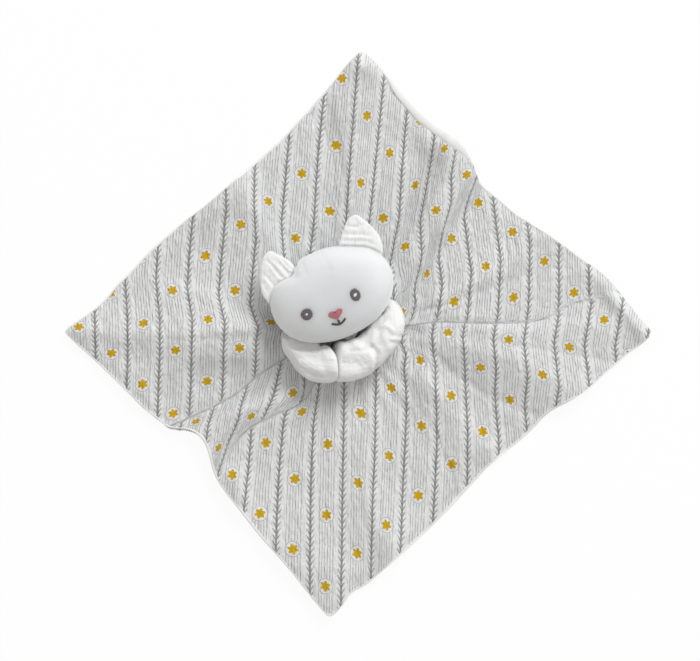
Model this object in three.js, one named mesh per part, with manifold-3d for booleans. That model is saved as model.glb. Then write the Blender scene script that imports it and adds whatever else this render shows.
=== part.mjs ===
// A baby comforter. A square of printed cotton gauze with a plain lining lies flat, and at its
// middle a stuffed cat's head lies face up on it, with two gauze ears and two curled gauze arms.
// Millimetres, +Z up. The origin is on the neck's axis, on the surface that the cloth lies on.
import * as THREE from "three";
import { mergeVertices } from "three/addons/utils/BufferGeometryUtils.js";
import Module from "manifold-3d";

const wasm = await Module();
wasm.setup();

const degree = Math.PI / 180;

// The cloth as it lies: each corner's distance from the neck and its direction
const topReach = 199;
const topTurn = 86.7;
const leftReach = 202;
const leftTurn = 180;
const bottomReach = 206;
const bottomTurn = 266.8;
const rightReach = 217;
const rightTurn = 359.5;
const cornerRounding = 3;
const frontThickness = 0.8;
const liningThickness = 1;
const liningShare = 0.3; // how much of a fold's height the lining follows

// The neck, gathered from the printed cloth and drawn together by a thread
const neckRadius = 9;
const neckTop = 17;
const neckPleats = 16;
const neckPleatDepth = 0.6;
const neckRise = 3.4; // how far the cloth climbs the neck
const neckRiseReach = 7;
const neckWaist = 0.8; // how far the thread draws the stub in
const neckRounding = 2;
const threadDiameter = 1.2;

// The head, two sewn panels round a filling
const headWidth = 91;
const headHeight = 65;
const headDepth = 44;
const headSquareness = 2.15; // 2 is an ellipse, more is squarer
const headCrown = 2.3;
const headTilt = 22;
const headRise = 27.2; // from the neck's axis to the middle of the face
const headFloor = 5.5; // the back of the head above the surface
const panelThickness = 1.2;
const headSwing = 12;

// The ears, two panels each, sewn in along the head's outline
const earFrom = 14; // where the seam of an ear starts and ends, round the head from its side
const earTo = 60;
const earTip = 51;
const earLength = 23;
const earTipRounding = 5;
const earBulge = 6;
const earThickness = 3;
const earSeam = 0.6; // from the head's outline to the ear, so that it can fold

// The embroidered face
const faceShift = -3.3; // the face is a little off the head's middle
const eyeSpacing = 37.8;
const eyeDrop = 6.5;
const leftEyeWidth = 9;
const leftEyeHeight = 9;
const rightEyeWidth = 7.8;
const rightEyeHeight = 9.6;
const glintSize = 1.9;
const stitchHeight = 0.8;
const noseWidth = 10.3;
const noseHeight = 8;
const noseDrop = 14.2;
const mouthDrop = 21.6;
const mouthWidth = 10;
const mouthLift = 2; // how far the corners of the smile stand above its middle
const mouthStroke = 1.4;

// The arms, stuffed sleeves that curl under the chin
const armRoot = 5; // radius where the arm leaves its sewn end
const armThick = 12; // radius of the forearm
const leftPaw = 14.5;
const rightPaw = 14.5;
const armFlat = 0.94; // height of the section over its width
const armFloor = 8; // the arms above the surface
const armWall = 0.9;
const pawMeeting = -9.4; // where the two paws meet
const leftShoulderX = 36;
const leftShoulderY = 4;
const rightShoulderX = 25;
const rightShoulderY = 13;
const shoulderWidth = 10;
const shoulderHeight = 3;
const armSwing = 30;

const gap = 0.3; // between pieces that lie against each other
const softGap = 0.5; // between soft pieces that move past each other

const faceWhite = 0xdee0e1;
const gauzeWhite = 0xe6e6e4;
const liningWhite = 0xe9e9ea;
const printGrey = 0xdcdcdd;
const fillingWhite = 0xf2f2f0;
const eyeGrey = 0x5b5556;
const glintWhite = 0xeeeeec;
const noseRose = 0xb5696f;
const mouthGrey = 0x4a4648;

// The main folds of the cloth. At the near, the middle and the far distance from the neck each
// crest has its direction and its height, and its flanks on the anticlockwise side (left) and on the
// clockwise side (right) have their spread. Heights and spreads are shares of the greatest.
const foldNear = 55;
const foldMiddle = 110;
const foldFar = 170;
const foldHighest = 12;
const foldBroadest = 30;
const folds = [
  { turn: [178.5, 182.5, 181], height: [0.85, 0.72, 0.36], left: 0.61, right: 0.64 },
  { turn: [226.5, 216.5, 214.5], height: [0.52, 0.61, 0.75], left: 0.63, right: 0.23 },
  { turn: [181, 167, 173], height: [-0.06, 0.38, -0.19], left: 0.95, right: 0.23 },
  { turn: [136, 128.5, 122], height: [0.72, 0.62, 0.45], left: 1.13, right: 0.35 },
  { turn: [87.5, 88.5, 86], height: [0.66, 0.58, 0.57], left: 0.38, right: 0.49 },
  { turn: [105.5, 96, 97.5], height: [-0.06, -0.22, -0.21], left: 0.3, right: 0.22 },
  { turn: [49, 57.5, 62.5], height: [0.31, 0.24, 0.75], left: 0.16, right: 0.3 },
  { turn: [16, 20, 30], height: [0.3, 0.7, 0.69], left: 0.25, right: 1.13 },
  { turn: [7, -1.5, 0], height: [-0.25, 0.38, 0.42], left: 0.35, right: 0.44 },
  { turn: [354, 349.5, 345], height: [0.84, 0.99, 0.75], left: 0.67, right: 0.79 },
  { turn: [327.5, 319.5, 318.5], height: [0.73, 0.39, 0.25], left: 0.36, right: 0.69 },
  { turn: [295, 286.5, 293], height: [-0.25, -0.02, -0.11], left: 0.71, right: 0.28 },
  { turn: [283.5, 276, 281.5], height: [0.12, 0.36, 0.73], left: 0.65, right: 0.46 },
  { turn: [271.5, 259, 252], height: [0.21, 0.28, 0.61], left: 0.73, right: 0.36 },
  { turn: [232.5, 232, 242], height: [0.1, 0.14, 0.75], left: 0.43, right: 0.55 },
  { turn: [73, 71, 68.5], height: [-0.05, 0.5, -0.02], left: 0.43, right: 0.31 },
  { turn: [37, 32, 24.5], height: [-0.01, -0.05, 0.38], left: 0.53, right: 0.37 },
  { turn: [194, 190.5, 198.5], height: [0.78, 0.48, 0.47], left: 0.45, right: 0.94 },
  { turn: [7.5, 8, 13], height: [-0.25, 0.36, 0.12], left: 0.65, right: 0.47 },
];

// Swells where the cloth's edge doesn't lie flat: direction, distance as a share of the far one,
// height, turn of the long axis, half length and half width
const swells = [
  { turn: 63, at: 0.87, height: 0.58, lean: -42, length: 0.91, width: 0.42 },
  { turn: 4, at: 1.16, height: 0.43, lean: -50, length: 1.12, width: 0.21 },
  { turn: 86, at: 1.1, height: 0.58, lean: 49, length: 0.3, width: 0.41 },
  { turn: 91, at: 0.96, height: 0.53, lean: 73, length: 0.87, width: 0.31 },
  { turn: 336, at: 0.98, height: 0.58, lean: 61, length: 0.98, width: 0.25 },
  { turn: 303, at: 0.9, height: 0.26, lean: 39, length: 0.73, width: 0.24 },
  { turn: 219, at: 0.85, height: 0.58, lean: -39, length: 1.39, width: 0.5 },
  { turn: 134, at: 0.75, height: 0.41, lean: 44, length: 0.98, width: 0.3 },
  { turn: 181, at: 1.03, height: 0.2, lean: -3, length: 1.12, width: 0.25 },
  { turn: 266, at: 1.13, height: 0.56, lean: 88, length: 1.38, width: 0.8 },
  { turn: 59, at: 0.72, height: 0.5, lean: 91, length: 1.53, width: 0.37 },
  { turn: 23, at: 0.71, height: 0.34, lean: 17, length: 0.77, width: 0.42 },
];

const foldStart = 45;
const foldFull = 74; // from here the folds have their full height
const foldEnd = 215;
const foldEndShare = 0.5; // how much of their height they keep at the end
const foldTurnReach = 90; // degrees either side of its crest over which a fold is felt
const foldSpread = 0.6; // a flank's spread at the neck, as a share of that at the middle distance
const foldSharpness = 1.6;
const foldSoftness = 0.4; // rounds the cloth where it comes to lie flat

// Where the laid edge bows in or out between its corners: place along the side, depth, and width
const edges = [
  // top to left
  [
    { at: 0.3, depth: -4.5, width: 0.09 },
    { at: 0.44, depth: -2.5, width: 0.08 },
    { at: 0.9, depth: -3.5, width: 0.06 },
  ],
  // left to bottom, with the one deep tuck
  [
    { at: 0.42, depth: -15, width: 0.05 },
    { at: 0.5, depth: -5, width: 0.07 },
    { at: 0.3, depth: -4, width: 0.08 },
    { at: 0.66, depth: -3, width: 0.07 },
  ],
  // bottom to right
  [
    { at: 0.08, depth: -2, width: 0.05 },
    { at: 0.52, depth: -5, width: 0.1 },
    { at: 0.7, depth: -4.5, width: 0.05 },
  ],
  // right to top
  [
    { at: 0.16, depth: 5.5, width: 0.1 },
    { at: 0.51, depth: -8, width: 0.09 },
    { at: 0.69, depth: 2, width: 0.05 },
    { at: 0.81, depth: -2, width: 0.05 },
  ],
];

const raysPerSide = 20;
const clothRings = [0, 0.04, 0.1, 0.19, 0.31, 0.45, 0.61, 0.77, 0.9, 1];

const turnBy = (angle, distance) =>
  new THREE.Vector2(Math.cos(angle * degree), Math.sin(angle * degree)).multiplyScalar(distance);
const smooth = (from, to, value) => THREE.MathUtils.smoothstep(value, from, to);
const bell = (value, width) => Math.exp(-((value / width) ** 2));

// Helpers

// A closed skin of rings and rays. Its upper and lower faces run from a middle point, or from
// the edge of a hole, to a rim that joins them.
function closedSkin(rings, rays, upper, lower, hole = false) {
  const points = [];
  const faces = [];
  const firstRing = hole ? 0 : 1;
  const face = (place) => {
    const start = points.length;
    if (!hole) points.push(place(0, 0));
    for (let ring = firstRing; ring <= rings; ring++)
      for (let ray = 0; ray < rays; ray++) points.push(place(ring, ray));
    return (ring, ray) => start + (hole ? 0 : 1) + (ring - firstRing) * rays + (ray % rays);
  };
  const top = face(upper);
  const topMiddle = 0;
  const bottomMiddle = points.length;
  const bottom = face(lower);
  const quad = (a, b, c, d) => faces.push(a, b, c, a, c, d);
  for (let ray = 0; ray < rays; ray++) {
    if (hole) {
      quad(top(0, ray), top(0, ray + 1), bottom(0, ray + 1), bottom(0, ray));
    } else {
      faces.push(topMiddle, top(1, ray), top(1, ray + 1));
      faces.push(bottomMiddle, bottom(1, ray + 1), bottom(1, ray));
    }
    for (let ring = firstRing; ring < rings; ring++) {
      quad(top(ring, ray), top(ring + 1, ray), top(ring + 1, ray + 1), top(ring, ray + 1));
      quad(bottom(ring, ray + 1), bottom(ring + 1, ray + 1), bottom(ring + 1, ray), bottom(ring, ray));
    }
    quad(bottom(rings, ray), bottom(rings, ray + 1), top(rings, ray + 1), top(rings, ray));
  }
  const geometry = new THREE.BufferGeometry().setFromPoints(points);
  geometry.setIndex(faces);
  geometry.computeVertexNormals();
  return geometry;
}

function solidOf(geometry) {
  const bare = geometry.clone();
  bare.deleteAttribute("normal");
  bare.deleteAttribute("uv");
  const merged = mergeVertices(bare, 1e-4);
  return new wasm.Manifold(
    new wasm.Mesh({
      numProp: 3,
      vertProperties: merged.attributes.position.array,
      triVerts: new Uint32Array(merged.index.array),
    }),
  );
}

function geometryOf(solid) {
  const mesh = solid.getMesh();
  const geometry = new THREE.BufferGeometry();
  geometry.setAttribute("position", new THREE.BufferAttribute(mesh.vertProperties, 3));
  geometry.setIndex(new THREE.BufferAttribute(mesh.triVerts, 1));
  geometry.computeVertexNormals();
  return geometry;
}

const cut = (geometry, ...tools) =>
  geometryOf(tools.reduce((rest, tool) => rest.subtract(tool), solidOf(geometry)));

function addPiece(group, name, geometry, color, roughness = 0.9) {
  const material = new THREE.MeshStandardMaterial({ color, roughness, metalness: 0 });
  const mesh = new THREE.Mesh(geometry, material);
  mesh.name = name;
  group.add(mesh);
  return mesh;
}

// Cloth

const corners = [
  turnBy(topTurn, topReach - cornerRounding),
  turnBy(leftTurn, leftReach - cornerRounding),
  turnBy(bottomTurn, bottomReach - cornerRounding),
  turnBy(rightTurn, rightReach - cornerRounding),
];

// A point of the laid edge, counted in rays from the top corner towards the left one
function edgePoint(ray) {
  const side = Math.floor(ray / raysPerSide) % corners.length;
  const along = (ray % raysPerSide) / raysPerSide;
  const from = corners[side];
  const to = corners[(side + 1) % corners.length];
  const outward = to.clone().sub(from).normalize().rotateAround(new THREE.Vector2(), -Math.PI / 2);
  const bow = edges[side].reduce((sum, wave) => sum + wave.depth * bell(along - wave.at, wave.width), 0);
  return from.clone().lerp(to, along).addScaledVector(outward, bow);
}

function foldHeight(place) {
  const distance = place.length();
  const turn = THREE.MathUtils.radToDeg(place.angle());
  const toMiddle = smooth(foldNear, foldMiddle, distance);
  const toFar = smooth(foldMiddle, foldFar, distance);
  const eased = ([near, middle, far]) => near + (middle - near) * toMiddle + (far - middle) * toFar;
  const widening = foldSpread + ((1 - foldSpread) * distance) / foldMiddle;
  const full = smooth(foldStart, foldFull, distance);
  const fading = 1 - (1 - foldEndShare) * smooth(foldFar, foldEnd, distance);
  const radial = folds.reduce((sum, fold) => {
    const off = THREE.MathUtils.euclideanModulo(turn - eased(fold.turn) + 180, 360) - 180;
    if (Math.abs(off) > foldTurnReach) return sum;
    const flank = foldBroadest * (off > 0 ? fold.left : fold.right) * widening;
    const across = Math.abs(distance * off * degree) / flank;
    return sum + foldHighest * eased(fold.height) * Math.exp(-(across ** foldSharpness));
  }, 0);
  const lifted = swells.reduce((sum, swell) => {
    const off = place.clone().sub(turnBy(swell.turn, swell.at * foldFar));
    off.rotateAround(new THREE.Vector2(), -swell.lean * degree);
    const along = bell(off.x, swell.length * foldBroadest);
    return sum + swell.height * foldHighest * along * bell(off.y, swell.width * foldBroadest);
  }, 0);
  const height = radial * full * fading + lifted;
  return (height + Math.hypot(height, foldSoftness * full)) / 2;
}

const neckHole = neckRadius + neckPleatDepth + gap;

function clothPlace(ring, ray) {
  const edge = edgePoint(ray);
  const reach = edge.length();
  return edge.multiplyScalar((neckHole + (reach - neckHole) * clothRings[ring]) / reach);
}

function clothSheet(height, hole) {
  const rings = clothRings.length - 1;
  const place = (side) => (ring, ray) => {
    if (!hole && ring === 0) return new THREE.Vector3(0, 0, side);
    const flat = clothPlace(hole ? ring : ring - 1, ray);
    return new THREE.Vector3(flat.x, flat.y, height(flat) + side);
  };
  const thickness = hole ? frontThickness : liningThickness;
  return closedSkin(hole ? rings : rings + 1, 4 * raysPerSide, place(thickness), place(0), hole);
}

const clothTop = liningThickness + gap + frontThickness; // where the cloth lies flat
const liningHeight = (place) => liningShare * foldHeight(place);
const frontHeight = (place) =>
  liningThickness +
  gap +
  foldHeight(place) +
  neckRise * Math.exp(-(place.length() - neckHole) / neckRiseReach);

// Neck

// The gathered stub that carries the head: a turned form with pleats round it
function neckGather() {
  const floor = liningThickness + gap;
  const profile = [
    [0, floor],
    [neckRadius - neckRounding / 4, floor],
    [neckRadius, floor + neckRounding],
    [neckRadius - neckWaist, (floor + neckTop) / 2],
    [neckRadius - neckWaist, neckTop - neckRounding],
    [neckRadius - neckRounding, neckTop],
    [0, neckTop],
  ].map(([radius, height]) => new THREE.Vector2(radius, height));
  const geometry = new THREE.LatheGeometry(profile, 3 * neckPleats).rotateX(Math.PI / 2);
  const position = geometry.attributes.position;
  for (let i = 0; i < position.count; i++) {
    const turn = Math.atan2(position.getY(i), position.getX(i));
    const radius = Math.hypot(position.getX(i), position.getY(i));
    const pleat = 1 + (neckPleatDepth / neckRadius) * Math.cos(neckPleats * turn);
    if (radius > neckRadius / 2) position.setXY(i, position.getX(i) * pleat, position.getY(i) * pleat);
  }
  return geometry;
}

const threadRadius = neckRadius + neckPleatDepth + gap + threadDiameter / 2;
const threadHeight = liningThickness + gap + frontThickness + neckRise + gap + threadDiameter / 2;

function neckThread() {
  return new THREE.TorusGeometry(threadRadius, threadDiameter / 2, 6, 40).translate(0, 0, threadHeight);
}

// Head, in its own frame: u along the eye line, v up the face, w out of the face, and the
// neck's axis at the origin

const headMiddle = headFloor + headDepth / 2;

// Distance from the middle of the face to the head's outline, in a direction
const headOutline = (angle, less = 0) =>
  1 /
  Math.hypot(
    Math.abs(Math.cos(angle)) ** (headSquareness / 2) / (headWidth / 2 - less) ** (headSquareness / 2),
    Math.abs(Math.sin(angle)) ** (headSquareness / 2) / (headHeight / 2 - less) ** (headSquareness / 2),
  ) **
    (2 / headSquareness);

// How far out a point lies, from 0 at the middle of the face to 1 on the outline
const headShare = (u, v) =>
  ((Math.abs(u) / (headWidth / 2)) ** headSquareness + (Math.abs(v) / (headHeight / 2)) ** headSquareness) **
  (1 / headSquareness);
const crown = (share) => Math.sqrt(Math.max(0, 1 - share ** headCrown));
const seamHalf = gap / 2;

// Height of the face's surface over the seam, at a place measured from the middle of the face
const faceHeight = (u, v) => seamHalf + (headDepth / 2 - seamHalf) * crown(headShare(u, v));

const headRings = 8;
const headRays = 40;

// One half of the head's form, set in from the outside by a distance
const headHalf = (side, less) => (ring, ray) => {
  const angle = (ray / headRays) * 2 * Math.PI;
  const share = Math.sin((ring / headRings) * (Math.PI / 2));
  const flat = turnBy(angle / degree, share * headOutline(angle, less));
  const height = seamHalf + (headDepth / 2 - less - seamHalf) * crown(share);
  return new THREE.Vector3(flat.x, flat.y + headRise, side * height);
};

const headPanel = (side) =>
  side > 0
    ? closedSkin(headRings, headRays, headHalf(1, 0), headHalf(1, panelThickness))
    : closedSkin(headRings, headRays, headHalf(-1, panelThickness), headHalf(-1, 0));
const headForm = (less) => closedSkin(headRings, headRays, headHalf(1, less), headHalf(-1, less));

// The opening under the chin that the neck goes into
function neckOpening() {
  const radius = threadRadius + threadDiameter / 2 + softGap;
  const height = neckTop + gap;
  const opening = new THREE.CylinderGeometry(radius, radius, height, 36);
  return solidOf(opening.rotateX(Math.PI / 2).translate(0, 0, height / 2 - headMiddle));
}

// A stitched or sewn patch on the plane or on the face: an outline filled from its middle
function patch(outline, rings, upper, lower) {
  const middle = outline.reduce((sum, point) => sum.add(point), new THREE.Vector2());
  middle.divideScalar(outline.length);
  const place = (height) => (ring, ray) => {
    const share = ring / rings;
    const flat = middle.clone().lerp(outline[ray % outline.length], share);
    return new THREE.Vector3(flat.x, flat.y, height(flat, share));
  };
  return closedSkin(rings, outline.length, place(upper), place(lower));
}

// Ears

const earRoot = (angle) => turnBy(angle, headOutline(angle * degree) + earSeam);

// The outline of the ear on the u side, from the inner end of its seam round the tip
function earOutline() {
  const inner = earRoot(earTo);
  const outer = earRoot(earFrom);
  const tip = turnBy(earTip, headOutline(earTip * degree) + earLength);
  const near = (end) => tip.clone().add(end.clone().sub(tip).setLength(earTipRounding));
  const chord = outer.clone().sub(tip);
  const bulge = tip.clone().lerp(outer, 0.5);
  bulge.add(new THREE.Vector2(-chord.y, chord.x).setLength(earBulge));
  const shape = new THREE.Shape();
  shape.moveTo(outer.x, outer.y);
  const down = near(outer);
  shape.quadraticCurveTo(bulge.x, bulge.y, down.x, down.y);
  const up = near(inner);
  shape.quadraticCurveTo(tip.x, tip.y, up.x, up.y);
  const straight = 4;
  for (let i = 1; i <= straight; i++) {
    const point = up.clone().lerp(inner, i / straight);
    shape.lineTo(point.x, point.y);
  }
  const seamSteps = 8;
  for (let i = 1; i < seamSteps; i++) {
    const point = earRoot(THREE.MathUtils.lerp(earTo, earFrom, i / seamSteps));
    shape.lineTo(point.x, point.y);
  }
  return shape.getPoints(5);
}

// One panel of an ear, thin at its edge and fuller at its middle
function earPanel(mirror, side) {
  const points = earOutline().map((point) => new THREE.Vector2(mirror * point.x, point.y + headRise));
  if (mirror < 0) points.reverse();
  const edgeShare = 0.5;
  const flat = () => side * seamHalf;
  const full = (point, share) =>
    side * (seamHalf + (earThickness / 2) * (edgeShare + (1 - edgeShare) * (1 - share ** 2)));
  return side > 0 ? patch(points, 3, full, flat) : patch(points, 3, flat, full);
}

// Face

// A stitched patch that lies on the face, lower at its edge, at a height over it
function stitchedPatch(outline, rings, over = gap, height = stitchHeight) {
  const onFace = (point) => faceHeight(point.x, point.y - headRise) + over;
  const edgeDrop = 0.5;
  return patch(
    outline,
    rings,
    (point, share) => onFace(point) + height * (1 - edgeDrop * share ** 4),
    (point) => onFace(point),
  );
}

function oval(u, v, width, height, steps) {
  return new THREE.EllipseCurve(u, v, width / 2, height / 2, 0, 2 * Math.PI)
    .getPoints(steps)
    .slice(0, steps);
}

// A heart with its point down
function heart(u, v, width, height, steps) {
  return Array.from({ length: steps }, (_, step) => {
    const t = Math.PI - (step / steps) * 2 * Math.PI;
    const across = Math.sin(t) ** 3;
    const up =
      (13 * Math.cos(t) - 5 * Math.cos(2 * t) - 2 * Math.cos(3 * t) - Math.cos(4 * t) + 2.5) / 29;
    return new THREE.Vector2(u + (across * width) / 2, v + up * height);
  });
}

// A line of stitches that follows the face
function stitchedLine(points) {
  const over = gap + mouthStroke / 2;
  const curve = new THREE.CatmullRomCurve3(
    points.map(([u, v]) => new THREE.Vector3(u, v, faceHeight(u, v - headRise) + over)),
  );
  const section = new THREE.Shape();
  section.absarc(0, 0, mouthStroke / 2, 0, 2 * Math.PI);
  const settings = { steps: 8, curveSegments: 4, extrudePath: curve };
  return new THREE.ExtrudeGeometry(section, settings);
}

function mouth() {
  const middle = faceShift;
  const low = headRise - mouthDrop;
  const noseEnd = headRise - noseDrop - noseHeight / 2 - gap - mouthStroke / 2;
  const corner = mouthWidth / 2;
  const bendLift = mouthLift * 0.3;
  const smile = stitchedLine([
    [middle - corner, low + mouthLift],
    [middle - corner / 2, low + bendLift],
    [middle, low],
    [middle + corner / 2, low + bendLift],
    [middle + corner, low + mouthLift],
  ]);
  const stem = stitchedLine([
    [middle, noseEnd],
    [middle, (noseEnd + low) / 2],
    [middle, low],
  ]);
  return geometryOf(solidOf(smile).add(solidOf(stem)));
}

// Arms

const pawGap = softGap;
const shoulderLevel = clothTop + softGap + armRoot * armFlat;

// Each arm bends from the tip of its paw to its shoulder: the ends and the two handles of the bend
const arms = {
  left: {
    paw: leftPaw,
    tip: new THREE.Vector2(pawMeeting - pawGap / 2, -23.6),
    handles: [new THREE.Vector2(-26, -26.5), new THREE.Vector2(-41, -15)],
    shoulder: new THREE.Vector2(-leftShoulderX, leftShoulderY),
    outward: -1,
  },
  right: {
    paw: rightPaw,
    tip: new THREE.Vector2(pawMeeting + pawGap / 2, -20.5),
    handles: [new THREE.Vector2(14, -24), new THREE.Vector2(38, -11)],
    shoulder: new THREE.Vector2(rightShoulderX, rightShoulderY),
    outward: 1,
  },
};

// Shares of an arm's length from the tip of the paw
const wristFrom = 0.2;
const wristTo = 0.5;
const armTaperFrom = 0.6;

const armRays = 16;
const pawRings = 4;
const armRings = 14;

// A place on an arm's surface, set in by a distance: rings count from the tip of the paw
function armPlace(arm, less) {
  const bend = new THREE.CubicBezierCurve(arm.tip, ...arm.handles, arm.shoulder);
  const length = bend.getLength();
  return (ring, ray) => {
    const dome = Math.min(ring / pawRings, 1) * (Math.PI / 2);
    const domeLength = Math.max(0, arm.paw - (arm.paw - less) * Math.cos(dome));
    const rest = Math.max(0, ring - pawRings) / (armRings - pawRings);
    const along = (domeLength + (length - domeLength) * rest) / length;
    const middle = bend.getPointAt(along);
    const outward = bend.getTangentAt(along).negate();
    const taper = smooth(armTaperFrom, 1, along);
    const swell = THREE.MathUtils.lerp(arm.paw, armThick, smooth(wristFrom, wristTo, along));
    const radius = THREE.MathUtils.lerp(swell, armRoot, taper);
    const floor = THREE.MathUtils.lerp(armFloor, clothTop + softGap, taper);
    const section = (radius - less) * Math.sin(dome);
    const angle = (ray / armRays) * 2 * Math.PI;
    const across = section * Math.cos(angle);
    return new THREE.Vector3(
      middle.x - across * outward.y,
      middle.y + across * outward.x,
      floor + armFlat * (radius + section * Math.sin(angle)),
    );
  };
}

const sleeve = (arm) => closedSkin(armRings, armRays, armPlace(arm, 0), armPlace(arm, armWall));

// The flat end that closes an arm's form at the shoulder
function armEnd(arm, less) {
  const round = armPlace(arm, less);
  const middle = round(armRings, 0).add(round(armRings, armRays / 2)).divideScalar(2);
  return (ring, ray) => middle.clone().lerp(round(armRings, ray), ring / armRings);
}

function armFilling(arm) {
  const less = armWall + gap;
  return closedSkin(armRings, armRays, armPlace(arm, less), armEnd(arm, less));
}

// The flat end of a sleeve, sewn in at the neck and reaching out under the head
function shoulder(arm) {
  const start = arm.shoulder.clone().setLength(threadRadius + threadDiameter / 2 + gap);
  const startHeight = clothTop + neckRise + gap + shoulderHeight / 2;
  const spine = new THREE.LineCurve3(
    new THREE.Vector3(start.x, start.y, startHeight),
    new THREE.Vector3(arm.shoulder.x, arm.shoulder.y, shoulderLevel),
  );
  const section = new THREE.Shape();
  section.absellipse(0, 0, shoulderHeight / 2, shoulderWidth / 2, 0, 2 * Math.PI);
  return new THREE.ExtrudeGeometry(section, { steps: 6, curveSegments: 6, extrudePath: spine });
}

// A form at each step of a swing about an arm's shoulder, joined into one
function swept(form, arm, swing, steps) {
  const { x, y } = arm.shoulder;
  const rooms = [];
  for (let step = 0; step <= steps; step++) {
    const turn = (swing * step) / steps;
    rooms.push(form.translate([-x, -y, 0]).rotate([0, 0, turn]).translate([x, y, 0]));
  }
  return wasm.Manifold.union(rooms);
}

// The space that an arm takes as it swings out
function armRoom(arm) {
  const form = solidOf(closedSkin(armRings, armRays, armPlace(arm, -softGap), armEnd(arm, -softGap)));
  return swept(form, arm, arm.outward * armSwing, 3);
}

// The space that the head takes as it turns on the neck
function headRoom() {
  const form = solidOf(headForm(-softGap));
  const steps = 2;
  const rooms = [];
  for (let step = -steps; step <= steps; step++) {
    const turn = headTilt + (headSwing * step) / steps;
    rooms.push(form.rotate([0, 0, turn]).translate([0, 0, headMiddle]));
  }
  return wasm.Manifold.union(rooms);
}

// The comforter

const comforter = new THREE.Group();
addPiece(comforter, "blanket_front", clothSheet(frontHeight, true), printGrey);
addPiece(comforter, "blanket_lining", clothSheet(liningHeight, false), liningWhite);
addPiece(comforter, "neck_gather", neckGather(), printGrey);
addPiece(comforter, "neck_stitching", neckThread(), liningWhite);

const head = new THREE.Group();
head.position.z = headMiddle;
head.rotation.z = headTilt * degree;
comforter.add(head);
addPiece(head, "head_face", headPanel(1), faceWhite);
addPiece(head, "head_back", cut(headPanel(-1), neckOpening()), faceWhite);
addPiece(head, "head_filling", cut(headForm(panelThickness + gap), neckOpening()), fillingWhite);

for (const [name, mirror] of [["left", -1], ["right", 1]]) {
  addPiece(head, `ear_${name}_front`, earPanel(mirror, 1), gauzeWhite);
  addPiece(head, `ear_${name}_back`, earPanel(mirror, -1), gauzeWhite);
}

const eyeHeight = headRise - eyeDrop;
for (const [name, mirror, width, height] of [
  ["left", -1, leftEyeWidth, leftEyeHeight],
  ["right", 1, rightEyeWidth, rightEyeHeight],
]) {
  const u = faceShift + (mirror * eyeSpacing) / 2;
  const eye = stitchedPatch(oval(u, eyeHeight, width, height, 24), 3);
  addPiece(head, `eye_${name}`, eye, eyeGrey, 0.6);
  const over = gap + stitchHeight + gap;
  const glint = stitchedPatch(oval(u, eyeHeight, glintSize, glintSize, 12), 2, over, stitchHeight / 2);
  addPiece(head, `eye_${name}_glint`, glint, glintWhite, 0.6);
}
const nose = heart(faceShift, headRise - noseDrop, noseWidth, noseHeight, 28);
addPiece(head, "nose", stitchedPatch(nose, 2), noseRose, 0.6);
addPiece(head, "mouth", mouth(), mouthGrey, 0.6);

const turningHead = headRoom();
for (const [name, arm] of Object.entries(arms)) {
  const passingHead = swept(turningHead, arm, -arm.outward * armSwing, 3); // as a swinging arm meets it
  addPiece(comforter, `arm_${name}_sleeve`, cut(sleeve(arm), passingHead), gauzeWhite);
  addPiece(comforter, `arm_${name}_filling`, cut(armFilling(arm), passingHead), fillingWhite);
  addPiece(comforter, `shoulder_${name}`, cut(shoulder(arm), armRoom(arm), turningHead), gauzeWhite);
}

export default comforter;
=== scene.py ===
import math

import bmesh
import bpy
import numpy as np
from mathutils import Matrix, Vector


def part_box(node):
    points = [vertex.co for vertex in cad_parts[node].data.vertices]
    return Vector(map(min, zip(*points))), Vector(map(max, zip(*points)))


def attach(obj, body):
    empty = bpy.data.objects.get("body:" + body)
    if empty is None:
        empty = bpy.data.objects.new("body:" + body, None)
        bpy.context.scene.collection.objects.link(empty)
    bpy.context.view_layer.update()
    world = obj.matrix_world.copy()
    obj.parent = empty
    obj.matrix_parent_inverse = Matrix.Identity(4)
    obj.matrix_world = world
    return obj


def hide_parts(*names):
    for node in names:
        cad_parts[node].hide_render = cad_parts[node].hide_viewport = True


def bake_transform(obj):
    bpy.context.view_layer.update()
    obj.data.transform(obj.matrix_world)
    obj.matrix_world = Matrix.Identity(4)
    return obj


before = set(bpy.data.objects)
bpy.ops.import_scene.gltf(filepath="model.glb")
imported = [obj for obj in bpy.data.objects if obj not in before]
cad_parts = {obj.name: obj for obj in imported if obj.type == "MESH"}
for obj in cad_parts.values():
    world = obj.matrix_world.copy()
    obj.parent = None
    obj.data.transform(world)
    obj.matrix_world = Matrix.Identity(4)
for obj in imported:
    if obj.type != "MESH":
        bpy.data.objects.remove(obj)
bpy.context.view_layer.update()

mm = 0.001

# Places are worked out in millimetres, as on the pattern sheet, and turned to metres in each mesh


# Camera

view = {
    "height": 4.0,  # metres, as the other lengths here, apart from the sensor
    "middle": (0.00215, -0.0011),
    "width": 0.502,  # of the floor, across the whole picture
    "sensor": 36,
}
cameraData = bpy.data.cameras.new("cameraAbove")
cameraData.sensor_width = view["sensor"]
cameraData.lens = view["sensor"] * view["height"] / view["width"]
cameraObject = bpy.data.objects.new("cameraAbove", cameraData)
cameraObject.location = (*view["middle"], view["height"])
bpy.context.scene.collection.objects.link(cameraObject)
bpy.context.scene.camera = cameraObject
bpy.context.scene.view_settings.view_transform = "Standard"
print("camera stands over the cloth")


# Colours, nodes and meshes

def linear(colour):
    parts = [int(colour[i : i + 2], 16) / 255 for i in (1, 3, 5)]
    return (*[p / 12.92 if p <= 0.04045 else ((p + 0.055) / 1.055) ** 2.4 for p in parts], 1)


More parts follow.
